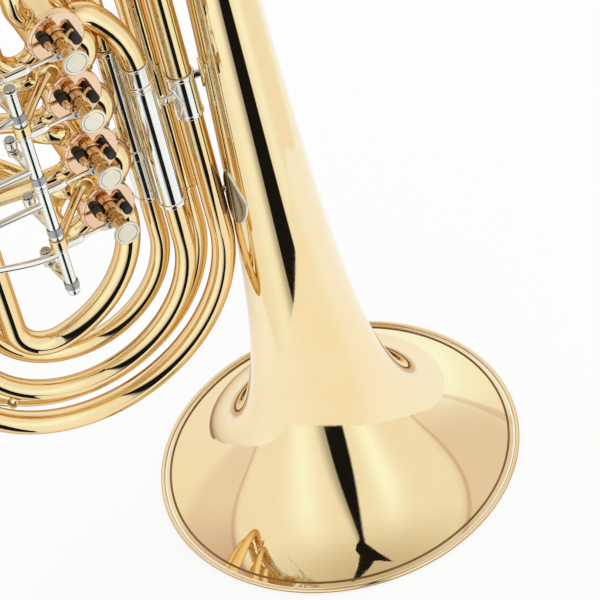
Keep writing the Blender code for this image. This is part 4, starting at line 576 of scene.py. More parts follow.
make_crossover()
make_exit_tube()
make_inlet_bend()
make_leadpipe()

# %% [markdown]
# ## Main tuning slide and water key
# Two ringed nickel sleeves take the legs of the brass slide bow. On the bow's lower left sit the
# nipple and the hinge of the water key, whose cork closes the nipple.

# %% Stays and feet
def stay(start, end, radius=0.0018):
    """Rod between two points that swells into a small ball in its middle."""
    start, end = np.array(start, float), np.array(end, float)
    share = np.concatenate([np.linspace(0, 0.38, 6), np.linspace(0.40, 0.60, 17),
                            np.linspace(0.62, 1, 6)])
    swell = 1 + 0.55 * np.exp(-((share - 0.5) / 0.05) ** 2)
    return tube(start + (end - start) * share[:, None], radius * swell, sides=24)


def soldered_foot(centre, radius_at, facing, middle_z, half_height, half_width, pointed=True):
    """Thin plate on a round wall: its half-width follows a power of the distance to its tips."""
    height = np.linspace(-1.0, 1.0, 49)
    width = (1 - np.abs(height)) ** 0.7
    if not pointed:
        width = np.where(height < 0, np.sqrt(np.maximum(0.0, 1 - height ** 2)), width)
    z = middle_z + height * half_height
    across = np.linspace(-1.0, 1.0, 17)
    radius = np.array([radius_at(level) for level in z])[:, None]
    angle = math.radians(facing) + across * (np.maximum(width, 0.01) * half_width)[:, None] / radius
    edge = np.minimum(1.0, 6 * (1 - np.abs(across))) ** 0.5 * np.minimum(1.0, 8 * width)[:, None]

    def layer(lift):
        reach = radius + lift
        return np.stack([centre[0] + reach * np.cos(angle), centre[1] + reach * np.sin(angle),
                         np.broadcast_to(z[:, None], angle.shape)], axis=2)

    top, bottom = layer(0.0002 + 0.0009 * edge), layer(0.0001)
    grid = np.concatenate([top, bottom[:, ::-1]], axis=1)
    ends = grid[[0, -1]].mean(axis=1, keepdims=True) + 0 * grid[[0, -1]]
    return np.concatenate([ends[:1], grid, ends[1:]]), False


# %% Tuning slide
def make_tuning_slide():
    """Sleeves with three rings each, and the U-shaped slide whose legs run inside them."""
    rings = [(TUNING_SLEEVE_BOTTOM, TUNING_SLEEVE_BOTTOM + 0.003, 0.0008),
             (TUNING_RING_Z - 0.0016, TUNING_RING_Z, 0.0008),
             (TUNING_RING_Z + 0.0010, TUNING_RING_Z + 0.0028, 0.0009),
             (TUNING_SLEEVE_TOP - 0.0018, TUNING_SLEEVE_TOP, 0.0007)]
    bore = TUNING_TUBE + 0.0001
    right, left = (sleeve(TUNING_SLEEVE, bore, TUNING_SLEEVE_BOTTOM, TUNING_SLEEVE_TOP, rings, x,
                          FRONT_Y) for x in (TUNING_LEG_X, TUNING_LEFT_X))
    add_piece("tuning_sleeve_right", [right], NICKEL, node="tuning_sleeve_right")
    sleeve_at = np.array([TUNING_LEFT_X, FRONT_Y, LEFT_STAY_Z])
    leg_at = np.array([LEFT_LEG_X, MIDDLE_Y, LEFT_STAY_Z])
    way = (leg_at - sleeve_at) / np.linalg.norm(leg_at - sleeve_at)
    foot = soldered_foot((LEFT_LEG_X, MIDDLE_Y), lambda z: MAIN_TUBE,
                         math.degrees(math.atan2(-way[1], -way[0])), LEFT_STAY_Z, 0.008, 0.0045)
    bar = stay(sleeve_at + way * TUNING_SLEEVE * 0.96, leg_at - way * (MAIN_TUBE + 0.0006))
    add_piece("tuning_sleeve_left", [left, bar, foot], NICKEL, node="tuning_sleeve_left")
    top = TUNING_BOW_Z + TUNING_LEG_LENGTH
    bow = arc(TUNING_LEG_X - TUNING_BOW_RADIUS, TUNING_BOW_Z, TUNING_BOW_RADIUS, 0, -180, FRONT_Y,
              steps=96)
    path = joined_path((TUNING_LEG_X, FRONT_Y, top), bow, (TUNING_LEFT_X, FRONT_Y, top))
    add_piece("tuning_slide", [tube(path, TUNING_TUBE, TUNING_TUBE - WALL), *key_seat()], BRASS,
              body="tuning_slide", node="tuning_slide")


# %% Water key
KEY_CENTRE = np.array([TUNING_LEG_X - TUNING_BOW_RADIUS, FRONT_Y, TUNING_BOW_Z])
KEY_ANGLE, KEY_HINGE_ANGLE = 228.0, 216.0
KEY_OUT, KEY_ALONG, KEY_WAY = polar(KEY_HINGE_ANGLE), polar(KEY_HINGE_ANGLE + 90), polar(KEY_ANGLE)
KEY_HINGE = KEY_CENTRE + KEY_OUT * (TUNING_BOW_RADIUS + TUNING_TUBE + 0.0032)


def key_seat():
    """Nipple with its drain, and the post and barrel that carry the key's pin."""
    low, top = TUNING_BOW_RADIUS + 0.0049, TUNING_BOW_RADIUS + TUNING_TUBE + 0.0030
    nipple = turned([(0.0013, low), (0.0034, low), (0.0026, low + 0.0014), (0.0024, top),
                     (0.0013, top)], KEY_CENTRE, KEY_WAY, 0.0002, 32)
    post = tube([KEY_CENTRE + KEY_OUT * (TUNING_BOW_RADIUS + 0.0050), KEY_HINGE], 0.0014, sides=24)
    barrel = turned([(0.0009, -0.0020), (0.0019, -0.0020), (0.0019, 0.0020), (0.0009, 0.0020)],
                    KEY_HINGE, Y_AXIS, 0.0002, 32)
    return nipple, post, barrel


def make_water_key():
    """Lever over the nipple: cork cup at one end, touch at the other, two cheeks on the pin."""
    bends = np.array([(-0.0145, 0.0042), (-0.006, 0.0036), (0.0, 0.0031), (0.007, 0.0026),
                      (0.0149, 0.0003)])
    t = np.linspace(bends[0, 0], bends[-1, 0], 33)
    rise = np.interp(t, *bends.T)
    bar = tube(KEY_HINGE + t[:, None] * KEY_ALONG + rise[:, None] * KEY_OUT, 0.0011, sides=20)
    bridge = soft_block(KEY_HINGE + KEY_OUT * 0.0031, KEY_ALONG * 0.0020, Y_AXIS * 0.0036,
                        KEY_OUT * 0.0008)
    cheeks = [soft_block(KEY_HINGE + KEY_OUT * 0.0007 + Y_AXIS * side * 0.00285,
                         KEY_ALONG * 0.0017, Y_AXIS * 0.00055, KEY_OUT * 0.0022)
              for side in (-1, 1)]
    touch = turned([(0, -0.0007), (0.0036, -0.0007), (0.0036, 0.0006), (0.0026, 0.0009),
                    (0, 0.0005)], KEY_HINGE + KEY_ALONG * t[0] + KEY_OUT * rise[0], KEY_OUT, 0.0003)
    seat = TUNING_BOW_RADIUS + TUNING_TUBE + 0.0033
    cup = turned([(0, seat + 0.0011), (0.0029, seat + 0.0011), (0.0030, seat + 0.0018),
                  (0.0020, seat + 0.0026), (0, seat + 0.0027)], KEY_CENTRE, KEY_WAY, 0.0003)
    add_piece("water_key", [bridge, *cheeks, bar, touch, cup], BRASS, body="water_key",
              node="water_key")
    cork = turned([(0, seat), (0.0026, seat), (0.0026, seat + 0.0013), (0, seat + 0.0013)],
                  KEY_CENTRE, KEY_WAY, 0.0003)
    add_piece("water_key_cork", [cork], CORK, body="water_key", node="water_key")
    pin = [turned([(0, -0.0039), (0.0013, -0.0037), (0.0013, -0.0034), (0.0008, -0.0034),
                   (0.0008, 0.0034), (0.0013, 0.0034), (0.0013, 0.0037), (0, 0.0039)],
                  KEY_HINGE, Y_AXIS, 0.0001, 24)]
    add_piece("water_key_pin", pin, STEEL, body="water_key", node="water_key")


make_tuning_slide()
make_water_key()
print("water key hinge", KEY_HINGE.round(4))

# %% [markdown]
# ## Rotary valves
# Each casing is a short barrel that lies across the instrument, with a cap screwed on its back.
# Four ports leave it at 45 degrees: two large ones on the right for the main air way, and two
# small ones on the left for the valve's own slide. Knuckles lead from each valve to the next.

# %% Casings
def valve_z(number):
    """Height of a valve's axis: the first valve is the highest."""
    return FOURTH_VALVE_Z + (4 - number) * VALVE_SPACING


def port_point(number, side, level, reach):
    """Point on a port's axis, reach away from the valve's axis."""
    return np.array([VALVE_X + side * reach * DIAGONAL, PORT_Y,
                     valve_z(number) + level * reach * DIAGONAL])


def knuckle_path(number, inside=0.009):
    """Quarter circle from a lower right port round to the next valve's upper right port."""
    reach = MAIN_PORT_REACH + GAP
    radius = (VALVE_SPACING - 2 * reach * DIAGONAL) * DIAGONAL
    centre = port_point(number, 1, -1, reach) - np.array([1, 0, 1]) * DIAGONAL * radius
    return joined_path(port_point(number, 1, -1, inside),
                       arc(centre[0], centre[2], radius, 45, -45, PORT_Y, steps=24))


def boss_path(circle, joint, angle, turn, inside):
    """The tube's circle up to an angle, then a sharp bend of 10 mm radius into the casing."""
    centre_x, centre_z, radius = circle
    first = joint + math.degrees(GAP / radius)
    angle = max(angle, first)
    lead = arc(centre_x, centre_z, radius, first, angle, PORT_Y, steps=12)
    centre = lead[-1] - polar(angle) * 0.010
    bend = arc(centre[0], centre[2], 0.010, angle, angle + turn, PORT_Y, steps=20)
    return joined_path(lead, bend, bend[-1] + polar(angle + turn + 90) * inside)


def flange(number, side, level, radius):
    """Small ring where a port leaves the casing."""
    way = np.array([side * DIAGONAL, 0, level * DIAGONAL])
    at = (VALVE_X, PORT_Y, valve_z(number))
    return turned([(radius - 0.001, 0.0128), (radius + 0.0007, 0.0128), (radius + 0.0007, 0.0140),
                   (radius - 0.001, 0.0140)], at, way, 0.0003)


def make_casing(number):
    """Barrel with a ribbed back cap, four ports, and the knuckle or boss of the main air way."""
    z = valve_z(number)
    depth = CASING_BACK - CASING_FRONT
    barrel = turned([(0.0123, 0), (CASING_RADIUS, 0), (CASING_RADIUS, 0.0016),
                     (CASING_RADIUS - 0.0004, 0.0022), (CASING_RADIUS - 0.0004, depth - 0.0024),
                     (CASING_RADIUS, depth - 0.0018), (CASING_RADIUS, depth), (0.0118, depth),
                     (0.0118, depth - 0.003), (0.0123, depth - 0.003)],
                    (VALVE_X, CASING_FRONT, z), Y_AXIS, 0.0003, 80)
    grids = [barrel]
    for level in (-1, 1):
        way = np.array([-DIAGONAL, 0, level * DIAGONAL])
        grids.append(tube([port_point(number, -1, level, 0.0115),
                           port_point(number, -1, level, PORT_REACH)], VALVE_TUBE,
                          VALVE_TUBE - WALL, start=way, end=way))
        grids.append(flange(number, -1, level, VALVE_TUBE))
        grids.append(flange(number, 1, level, MAIN_TUBE))
    if number == 1:
        circle = (TUNING_LEG_X - INLET_ARC_RADIUS, INLET_ARC_Z, INLET_ARC_RADIUS)
        grids.append(tube(boss_path(circle, INLET_JOINT_ANGLE, INLET_BEND_ANGLE, 47.0, 0.0035),
                          MAIN_TUBE, MAIN_TUBE - WALL))
    else:
        grids.append(tube([port_point(number, 1, 1, 0.0108),
                           port_point(number, 1, 1, MAIN_PORT_REACH)], MAIN_TUBE,
                          MAIN_TUBE - WALL))
    if number < 4:
        grids.append(tube(knuckle_path(number, 0.0108), MAIN_TUBE, MAIN_TUBE - WALL,
                          end=(-DIAGONAL, 0, -DIAGONAL)))
    else:
        grids.append(tube(boss_path(EXIT_ARC, EXIT_START_ANGLE, EXIT_START_ANGLE, 35.0, 0.002),
                          MAIN_TUBE, MAIN_TUBE - WALL))
    add_piece(f"valve_casing_{number}", grids, BRASS, node=f"valve_casing_{number}")
    cap = turned([(0, depth - 0.0005), (0.0128, depth - 0.0005), (0.0128, depth + 0.0029),
                  (0.0118, depth + 0.0035), (0.0052, depth + 0.0032), (0.0045, depth + 0.0026),
                  (0, depth + 0.0026)], (VALVE_X, CASING_FRONT, z), Y_AXIS, 0.00025, 96,
                 knurls=72, depth=0.00035, knurled=(depth, depth + 0.0027))
    add_piece(f"valve_cap_{number}", [cap], BRASS, node=f"valve_casing_{number}")


for number in (1, 2, 3, 4):
    make_casing(number)
print("valve heights", [round(valve_z(n), 4) for n in (1, 2, 3, 4)])

# %% [markdown]
# The rotor turns a quarter turn inside its casing. Only its stem shows, so its body is a plain
# barrel with the two wind ways cut as scoops in the CAD solid, which is kept here and given the
# brass finish. The plate in front is polished copper-coloured brass with two rubber bumpers.

# %% Rotors, plates and bumpers
def dress_node(name, material):
    """Gives a CAD node that stays a finish of this scene."""
    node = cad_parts[name]
    node.data.materials.clear()
    node.data.materials.append(material)


def make_plate(number):
    """Turned plate with a bevelled edge, a fine groove and a raised collar round the stem."""
    z = valve_z(number)
    front = PLATE_FRONT
    profile = [(0.0028, front), (0.0052, front), (0.0055, front + 0.0003),
               (0.0058, front), (PLATE_RADIUS - 0.0009, front), (PLATE_RADIUS, front + 0.0008),
               (PLATE_RADIUS, front + 0.0027), (0.0028, front + 0.0027)]
    add_piece(f"bearing_plate_{number}",
              [turned(profile, (VALVE_X, 0, z), Y_AXIS, 0.0002, 96)], ROSE,
              node=f"bearing_plate_{number}")
    for side, (x, rise), top in (("right", RIGHT_BUMPER, 0.0080), ("left", LEFT_BUMPER, 0.0045)):
        bumper = turned([(0, -top), (0.0025, -top), (0.0025, -0.0002), (0, -0.0002)],
                        (VALVE_X + x, front, z + rise), Y_AXIS, 0.0007)
        add_piece(f"bumper_{side}_{number}", [bumper], RUBBER, node=f"bearing_plate_{number}")
    x, rise = LEFT_BUMPER
    stub = turned([(0, -0.0080), (0.0019, -0.0080), (0.0019, -0.0040), (0, -0.0040)],
                  (VALVE_X + x, front, z + rise), Y_AXIS, 0.0006)
    add_piece(f"bumper_stub_{number}", [stub], HUB_BRASS, node=f"bearing_plate_{number}")


for number in (1, 2, 3, 4):
    dress_node(f"rotor_{number}", BRASS)
    make_plate(number)

# %% [markdown]
# ## Stop arms, links and levers
# The stop arm sits on the rotor's stem. Its lug swings between the bumpers, its crank pin takes
# the link, and a flat disc closes its knurled collar. The link's rod screws into a sleeve, so
# that its length can be set. The lever's short arm pulls the other end.

# %% Stop arms
def make_stop_arm(number):
    """Turned hub, neck, crank, lug and collar in hub brass; the disc in silver colours and the crank
    pin in steel.
    """
    z = valve_z(number)
    body = f"rotor_{number}"
    collar = ARM_FRONT - 0.0042
    disc = CAP_DISC_FRONT + 0.0015
    at = (VALVE_X, 0, z)
    hub = turned([(0.0027, PLATE_FRONT - 0.0004), (0.0045, PLATE_FRONT - 0.0004),
                  (0.0045, ARM_FRONT), (0.0021, ARM_FRONT - 0.0002),
                  (0.0021, collar), (0.0030, collar - 0.0001), (0, collar - 0.0002),
                  (0, ARM_FRONT + 0.0010), (0.0027, ARM_FRONT + 0.0010)], at, Y_AXIS, 0.0003)
    pin_at = (VALVE_X - CRANK_SIDE, 0, z - CRANK_SIDE)
    crank = turned([(0, ARM_FRONT), (0.0019, ARM_FRONT), (0.0019, ARM_FRONT + 0.0020),
                    (0, ARM_FRONT + 0.0020)], pin_at, Y_AXIS, 0.0003, 32)
    web = soft_block((VALVE_X - CRANK_SIDE * 0.6, ARM_FRONT + 0.0010, z - CRANK_SIDE * 0.6),
                     polar(225) * 0.0030, polar(315) * 0.0019, Y_AXIS * 0.0010)
    out = polar(31.5)
    lug = soft_block(np.array([VALVE_X, ARM_FRONT + 0.0011, z]) + out * 0.0059, out * 0.0027,
                     polar(121.5) * 0.0008, Y_AXIS * 0.0009)
    add_piece(f"stop_arm_{number}", [hub, crank, web, lug], HUB_BRASS, body=body,
              node=f"stop_arm_{number}")
    ring = turned([(0, collar), (0.0034, collar), (0.0036, collar - 0.0003),
                   (0.0036, collar - 0.0032), (0.0030, collar - 0.0040), (0.0029, disc),
                   (0, disc)], at, Y_AXIS, 0.0002, 96, knurls=36, depth=0.00025,
                  knurled=(collar - 0.0033, collar - 0.0002))
    add_piece(f"stop_collar_{number}", [ring], HUB_BRASS, body=body, node=f"stop_arm_{number}")
    face = turned([(0, disc), (CAP_DISC_RADIUS - 0.0003, disc), (CAP_DISC_RADIUS, disc - 0.0003),
                   (CAP_DISC_RADIUS, CAP_DISC_FRONT + 0.0003),
                   (CAP_DISC_RADIUS - 0.0003, CAP_DISC_FRONT), (0.0053, CAP_DISC_FRONT),
                   (0.0051, CAP_DISC_FRONT + 0.0002), (0.0049, CAP_DISC_FRONT),
                   (0, CAP_DISC_FRONT)], at, Y_AXIS, 0.0002, 96)
    add_piece(f"cap_disc_{number}", [face], DISC_SILVER, body=body, node=f"stop_arm_{number}")
    screw = turned([(0, ARM_FRONT + 0.0010), (0.0009, ARM_FRONT + 0.0010),
                    (0.0009, ARM_FRONT - 0.0034), (0.0016, ARM_FRONT - 0.0035),
                    (0.0016, ARM_FRONT - 0.0039), (0, ARM_FRONT - 0.0041)], pin_at, Y_AXIS,
                   0.0002, 32)
    add_piece(f"crank_pin_{number}", [screw], STEEL, body=body, node=f"stop_arm_{number}")


# %% Links
LEVER_REST = np.array([-SHORT_ARM * math.sin(math.radians(LEVER_TURN / 2)),
                       SHORT_ARM * math.cos(math.radians(LEVER_TURN / 2)), 0.0])


def make_link(number):
    """Ring on the crank pin, threaded rod, adjusting sleeve with nuts, and the lever's eye."""
    z = valve_z(number) - CRANK_SIDE
    ring_x, eye_x = VALVE_X - CRANK_SIDE, HINGE_X + LEVER_REST[0]
    eye_y = HINGE_Y + LEVER_REST[1]
    ring = turned([(0.0011, -0.0015), (0.0024, -0.0015), (0.0024, 0.0015), (0.0011, 0.0015)],
                  (ring_x, LINK_Y, z), Y_AXIS, 0.0003, 40)
    eye = turned([(0.0014, -0.0020), (0.0032, -0.0020), (0.0032, 0.0020), (0.0014, 0.0020)],
                 (eye_x, eye_y, z), Z_AXIS, 0.0003, 40)
    start = eye_x + 0.0054
    grids = [ring, eye, tube([(eye_x + 0.0026, LINK_Y, z), (start + 0.001, LINK_Y, z)], 0.0011,
                             sides=24)]
    barrel = [(0, 0), (0.0017, 0), (0.0025, 0.0008), (0.0025, 0.0125), (0.0021, 0.0140),
              (0.0017, 0.0150), (0, 0.0150)]
    grids.append(turned(barrel, (start, LINK_Y, z), X_AXIS, 0.0004, 40))
    grids.append(tube([(start + 0.0145, LINK_Y, z), (ring_x - 0.0018, LINK_Y, z)], 0.0011,
                      sides=24))
    nut = [(0, 0.0), (0.0024, 0.0), (0.0024, 0.0013), (0, 0.0013)]
    grids.append(turned(nut, (start - 0.0016, LINK_Y, z), X_AXIS, 0.0002, 6))
    add_piece(f"link_{number}", grids, NICKEL, body=f"link_{number}", node=f"link_{number}")


# %% Levers
def post_z(upper):
    """Height of a hinge post, between two valves."""
    return (valve_z(1) + valve_z(2)) / 2 if upper else (valve_z(3) + valve_z(4)) / 2


def hub_ends(number):
    """Lower and upper end of a lever's hub on the hinge rod."""
    middle = (valve_z(2) + valve_z(3)) / 2
    spans = {4: (valve_z(4) - 0.0145, post_z(False) - 0.003),
             3: (post_z(False) + 0.003, middle),
             2: (middle, post_z(True) - 0.003),
             1: (post_z(True) + 0.003, valve_z(1) + 0.006)}
    return spans[number][0] + GAP / 2, spans[number][1] - GAP / 2


def make_lever(number):
    """Hub on the rod, short arm with the link's pin, long arm and oval dished touch plate."""
    low, high = hub_ends(number)
    hub = turned([(0.0019, low), (LEVER_HUB_RADIUS, low), (LEVER_HUB_RADIUS, low + 0.0016),
                  (0.0030, low + 0.0020), (0.0030, high - 0.0020),
                  (LEVER_HUB_RADIUS, high - 0.0016), (LEVER_HUB_RADIUS, high), (0.0019, high)],
                 (HINGE_X, HINGE_Y, 0), Z_AXIS, 0.0003, 40)
    z = valve_z(number) - CRANK_SIDE
    top, bottom = z - 0.0039, z - 0.0065
    along = LEVER_REST / np.linalg.norm(LEVER_REST)
    across = np.array([-along[1], along[0], 0.0])
    hinge = np.array([HINGE_X, HINGE_Y, 0.0])
    arm = soft_block(hinge + along * 0.0112 + Z_AXIS * (top + bottom) / 2, along * 0.0088,
                     across * 0.0024, Z_AXIS * 0.0013)
    tip = turned([(0, bottom - STEP), (0.0029, bottom - STEP), (0.0029, top + 0.0002),
                  (0, top + 0.0002)], hinge + LEVER_REST, Z_AXIS, 0.0003, 40)
    plate_z = (valve_z(1) + valve_z(4)) / 2 + (2.5 - number) * TOUCH_SPACING
    root_z = min(max(plate_z, low + 0.004), high - 0.004)
    touch = np.array([TOUCH_X, HINGE_Y, plate_z])
    path = shift_run((HINGE_X - LEVER_HUB_RADIUS + 0.001, HINGE_Y, root_z),
                     touch + np.array([TOUCH_LENGTH / 2 - 0.003, 0, 0]), steps=40)
    long_arm = tube(path, np.linspace(0.0020, 0.0015, len(path)), sides=24)
    dish = [(0, 0.0009), (0.90, 0.0009), (0.97, 0.0006), (1.0, -0.0006), (0.96, -0.0009),
            (0.86, -0.0007), (0.45, -0.0003), (0, -0.0002)]
    disc, closed = turned(dish, (0, 0, 0), Y_AXIS, 0.00012, 64)
    disc = disc * np.array([TOUCH_LENGTH / 2, 1.0, TOUCH_WIDTH / 2]) + touch
    add_piece(f"lever_{number}", [hub, arm, tip, long_arm, (disc, closed)], NICKEL,
              body=f"lever_{number}", node=f"lever_{number}")
    head = z + 0.0023
    pin = turned([(0, bottom + 0.001), (0.0010, bottom + 0.001), (0.0010, head),
                  (0.0023, head), (0.0023, head + 0.0009), (0, head + 0.0012)],
                 hinge + LEVER_REST, Z_AXIS, 0.0002, 32)
    add_piece(f"lever_pin_{number}", [pin], STEEL, body=f"lever_{number}",
              node=f"lever_{number}")


for number in (1, 2, 3, 4):
    make_stop_arm(number)
    make_link(number)
    make_lever(number)

# %% [markdown]
# The four levers turn on one rod, held by two posts that grow out of small bosses between the
# valves. A fine coil spring round each hub drives its lever back.

# %% Hinge rod, posts and springs
def make_hinge():
    """Rod with a slotted head at each end; each post is a boss, an arm and a ring."""
    low, high = hub_ends(4)[0] - GAP, hub_ends(1)[1] + GAP
    profile = [(0, low - 0.0012), (0.0028, low - 0.0012), (0.0028, low), (HINGE_ROD_RADIUS, low),
               (HINGE_ROD_RADIUS, high), (0.0028, high), (0.0028, high + 0.0012),
               (0, high + 0.0012)]
    add_piece("lever_hinge_rod", [turned(profile, (HINGE_X, HINGE_Y, 0), Z_AXIS, 0.0004, 40)],
              STEEL, node="lever_hinge_rod")
    radius = math.hypot(VALVE_X - POST_BOSS_X, VALVE_SPACING / 2) - PLATE_RADIUS - GAP
    for name, upper in (("lever_post_upper", True), ("lever_post_lower", False)):
        z = post_z(upper)
        boss = turned([(0, -0.0096), (radius, -0.0096), (radius, PLATE_FRONT + 0.0006),
                       (radius - 0.0006, PLATE_FRONT), (0, PLATE_FRONT)],
                      (POST_BOSS_X, 0, z), Y_AXIS, 0.0003, 64)
        hinge, foot = np.array([HINGE_X, HINGE_Y, z]), np.array([POST_BOSS_X, -0.0123, z])
        reach = (hinge - foot) / np.linalg.norm(hinge - foot)
        share = np.linspace(0, 1, 25)
        arm = tube(foot + (hinge - reach * 0.0029 - foot) * share[:, None],
                   0.0023 + 0.0009 * np.abs(2 * share - 1) ** 3, sides=28)
        ring = turned([(0.0019, z - 0.00285), (0.0042, z - 0.00285), (0.0042, z + 0.00285),
                       (0.0019, z + 0.00285)], (HINGE_X, HINGE_Y, 0), Z_AXIS, 0.0004, 48)
        add_piece(name, [boss, arm, ring], BRASS, node=name)


def make_spring(number):
    """Helix round the lever's hub: six turns of thin wire whose radius is just over the hub's."""
    low, high = hub_ends(number)
    turn = np.linspace(0, 12 * np.pi, 289)
    path = np.stack([HINGE_X + 0.00345 * np.cos(turn), HINGE_Y + 0.00345 * np.sin(turn),
                     np.linspace(low + 0.0024, low + 0.0064, len(turn))], axis=1)
    add_piece(f"lever_spring_{number}", [tube(path, 0.00028, sides=8)], STEEL,
              body=f"lever_{number}")


make_hinge()
for number in (1, 2, 3, 4):
    make_spring(number)

# %% [markdown]
# ## Valve slides
# Every valve adds a loop of thinner tube. The third and fourth slides hang down inside the big
# bows, the first stands up behind the crossover bow, and the second is a short loop to the left.
# Each slide's legs run in sleeves, and crooks lead from the ports to the sleeves.

# %% Shared shapes of the slides
def left_elbow(number, level, radius=0.008):
    """Eighth circle from a left port round to the left."""
    centre = port_point(number, -1, level, PORT_REACH + GAP)
    centre = centre + np.array([-DIAGONAL, 0, -level * DIAGONAL]) * radius
    return arc(centre[0], centre[2], radius, 45.0 * level, 90.0 * level, PORT_Y, steps=12)


def port_direction(level):
    """Way out of a left port, up or down."""
    return np.array([-DIAGONAL, 0, level * DIAGONAL])


def slide_bow(leg_a, leg_b, length, direction):
    """U-shaped path: half circle between two parallel legs of one length."""
    leg_a, leg_b, direction = (np.array(v, float) for v in (leg_a, leg_b, direction))
    middle, half = (leg_a + leg_b) / 2, (leg_a - leg_b) / 2
    angle = np.linspace(0, np.pi, 65)[:, None]
    bend = middle + half * np.cos(angle) - direction * np.linalg.norm(half) * np.sin(angle)
    return joined_path(leg_a + direction * length, bend, leg_b + direction * length)


def valve_tube(name, path, body="root", start=None, end=None):
    """Tube of the valves' radius."""
    add_piece(name, [tube(path, VALVE_TUBE, VALVE_TUBE - WALL, 36, start, end)], BRASS, body=body,
              node=name)


# %% Third valve's slide
def make_third_slide():
    """Long right sleeve with two stays to the valves, short left one, slide and two crooks."""
    bore = VALVE_TUBE + 0.0001
    rings = [(THIRD_SLEEVE_BOTTOM, THIRD_SLEEVE_BOTTOM + 0.0026, 0.0006), (*THIRD_COLLAR, 0.0009),
             (THIRD_SLEEVE_TOP - 0.0032, THIRD_SLEEVE_TOP, 0.0008)]
    grids = [sleeve(VALVE_SLEEVE, bore, THIRD_SLEEVE_BOTTOM, THIRD_SLEEVE_TOP, rings, THIRD_LEG_X,
                    MIDDLE_Y)]
    for number, height in ((2, THIRD_SLEEVE_TOP - 0.0016), (4, sum(THIRD_COLLAR) / 2)):
        edge = max(abs(height - valve_z(number)) - 0.0018, 0)
        side = VALVE_X + math.sqrt(CASING_RADIUS ** 2 - edge ** 2) - 0.0002
        grids.append(stay((side, MIDDLE_Y, height), (THIRD_LEG_X - 0.0056, MIDDLE_Y, height),
                          0.0016))
    add_piece("third_sleeve_right", grids, NICKEL, node="third_sleeve_right")
    rings = [rings[0], (THIRD_LEFT_SLEEVE_TOP - 0.002, THIRD_LEFT_SLEEVE_TOP, 0.0006)]
    add_piece("third_sleeve_left",
              [sleeve(VALVE_SLEEVE, bore, THIRD_SLEEVE_BOTTOM, THIRD_LEFT_SLEEVE_TOP, rings,
                      THIRD_LEFT_X, MIDDLE_Y)], NICKEL, node="third_sleeve_left")
    valve_tube("third_slide",
               slide_bow((THIRD_LEG_X, MIDDLE_Y, THIRD_BOW_Z),
                         (THIRD_LEFT_X, MIDDLE_Y, THIRD_BOW_Z),
                         THIRD_LEFT_SLEEVE_TOP - 0.003 - THIRD_BOW_Z, Z_AXIS), "third_slide")
    elbow = left_elbow(3, -1)
    over = arc(THIRD_LEFT_X + 0.012, THIRD_LEFT_SLEEVE_TOP + GAP, 0.012, 90, 180, MIDDLE_Y,
               steps=20)
    valve_tube("third_crook_left", joined_path(elbow, shift_run(elbow[-1], over[0]), over),
               start=port_direction(-1), end=-Z_AXIS)
    start = port_point(3, -1, 1, PORT_REACH + GAP)
    half, angle = (THIRD_RISER_Y - MIDDLE_Y) / 2, np.linspace(np.pi, 0, 33)
    over = np.stack([np.full(33, THIRD_LEG_X), MIDDLE_Y + half - half * np.cos(angle),
                     THIRD_TOP_Z + half * np.sin(angle)], axis=1)
    level = start[2]
    guide = [start - port_direction(1) * 0.006, start, (-0.1045, -0.002, level + 0.0024),
             (-0.111, 0.007, level + 0.0028), (-0.109, 0.019, level + 0.004),
             (-0.098, THIRD_RISER_Y + 0.001, level + 0.009),
             (-0.080, THIRD_RISER_Y + 0.002, level + 0.022),
             (-0.066, THIRD_RISER_Y, level + 0.040), (THIRD_LEG_X, THIRD_RISER_Y, THIRD_TOP_Z),
             (THIRD_LEG_X, THIRD_RISER_Y, THIRD_TOP_Z + 0.010)]
    valve_tube("third_crook_right",
               joined_path(smooth_run(guide), over,
                           (THIRD_LEG_X, MIDDLE_Y, THIRD_SLEEVE_TOP + GAP)),
               start=port_direction(1))


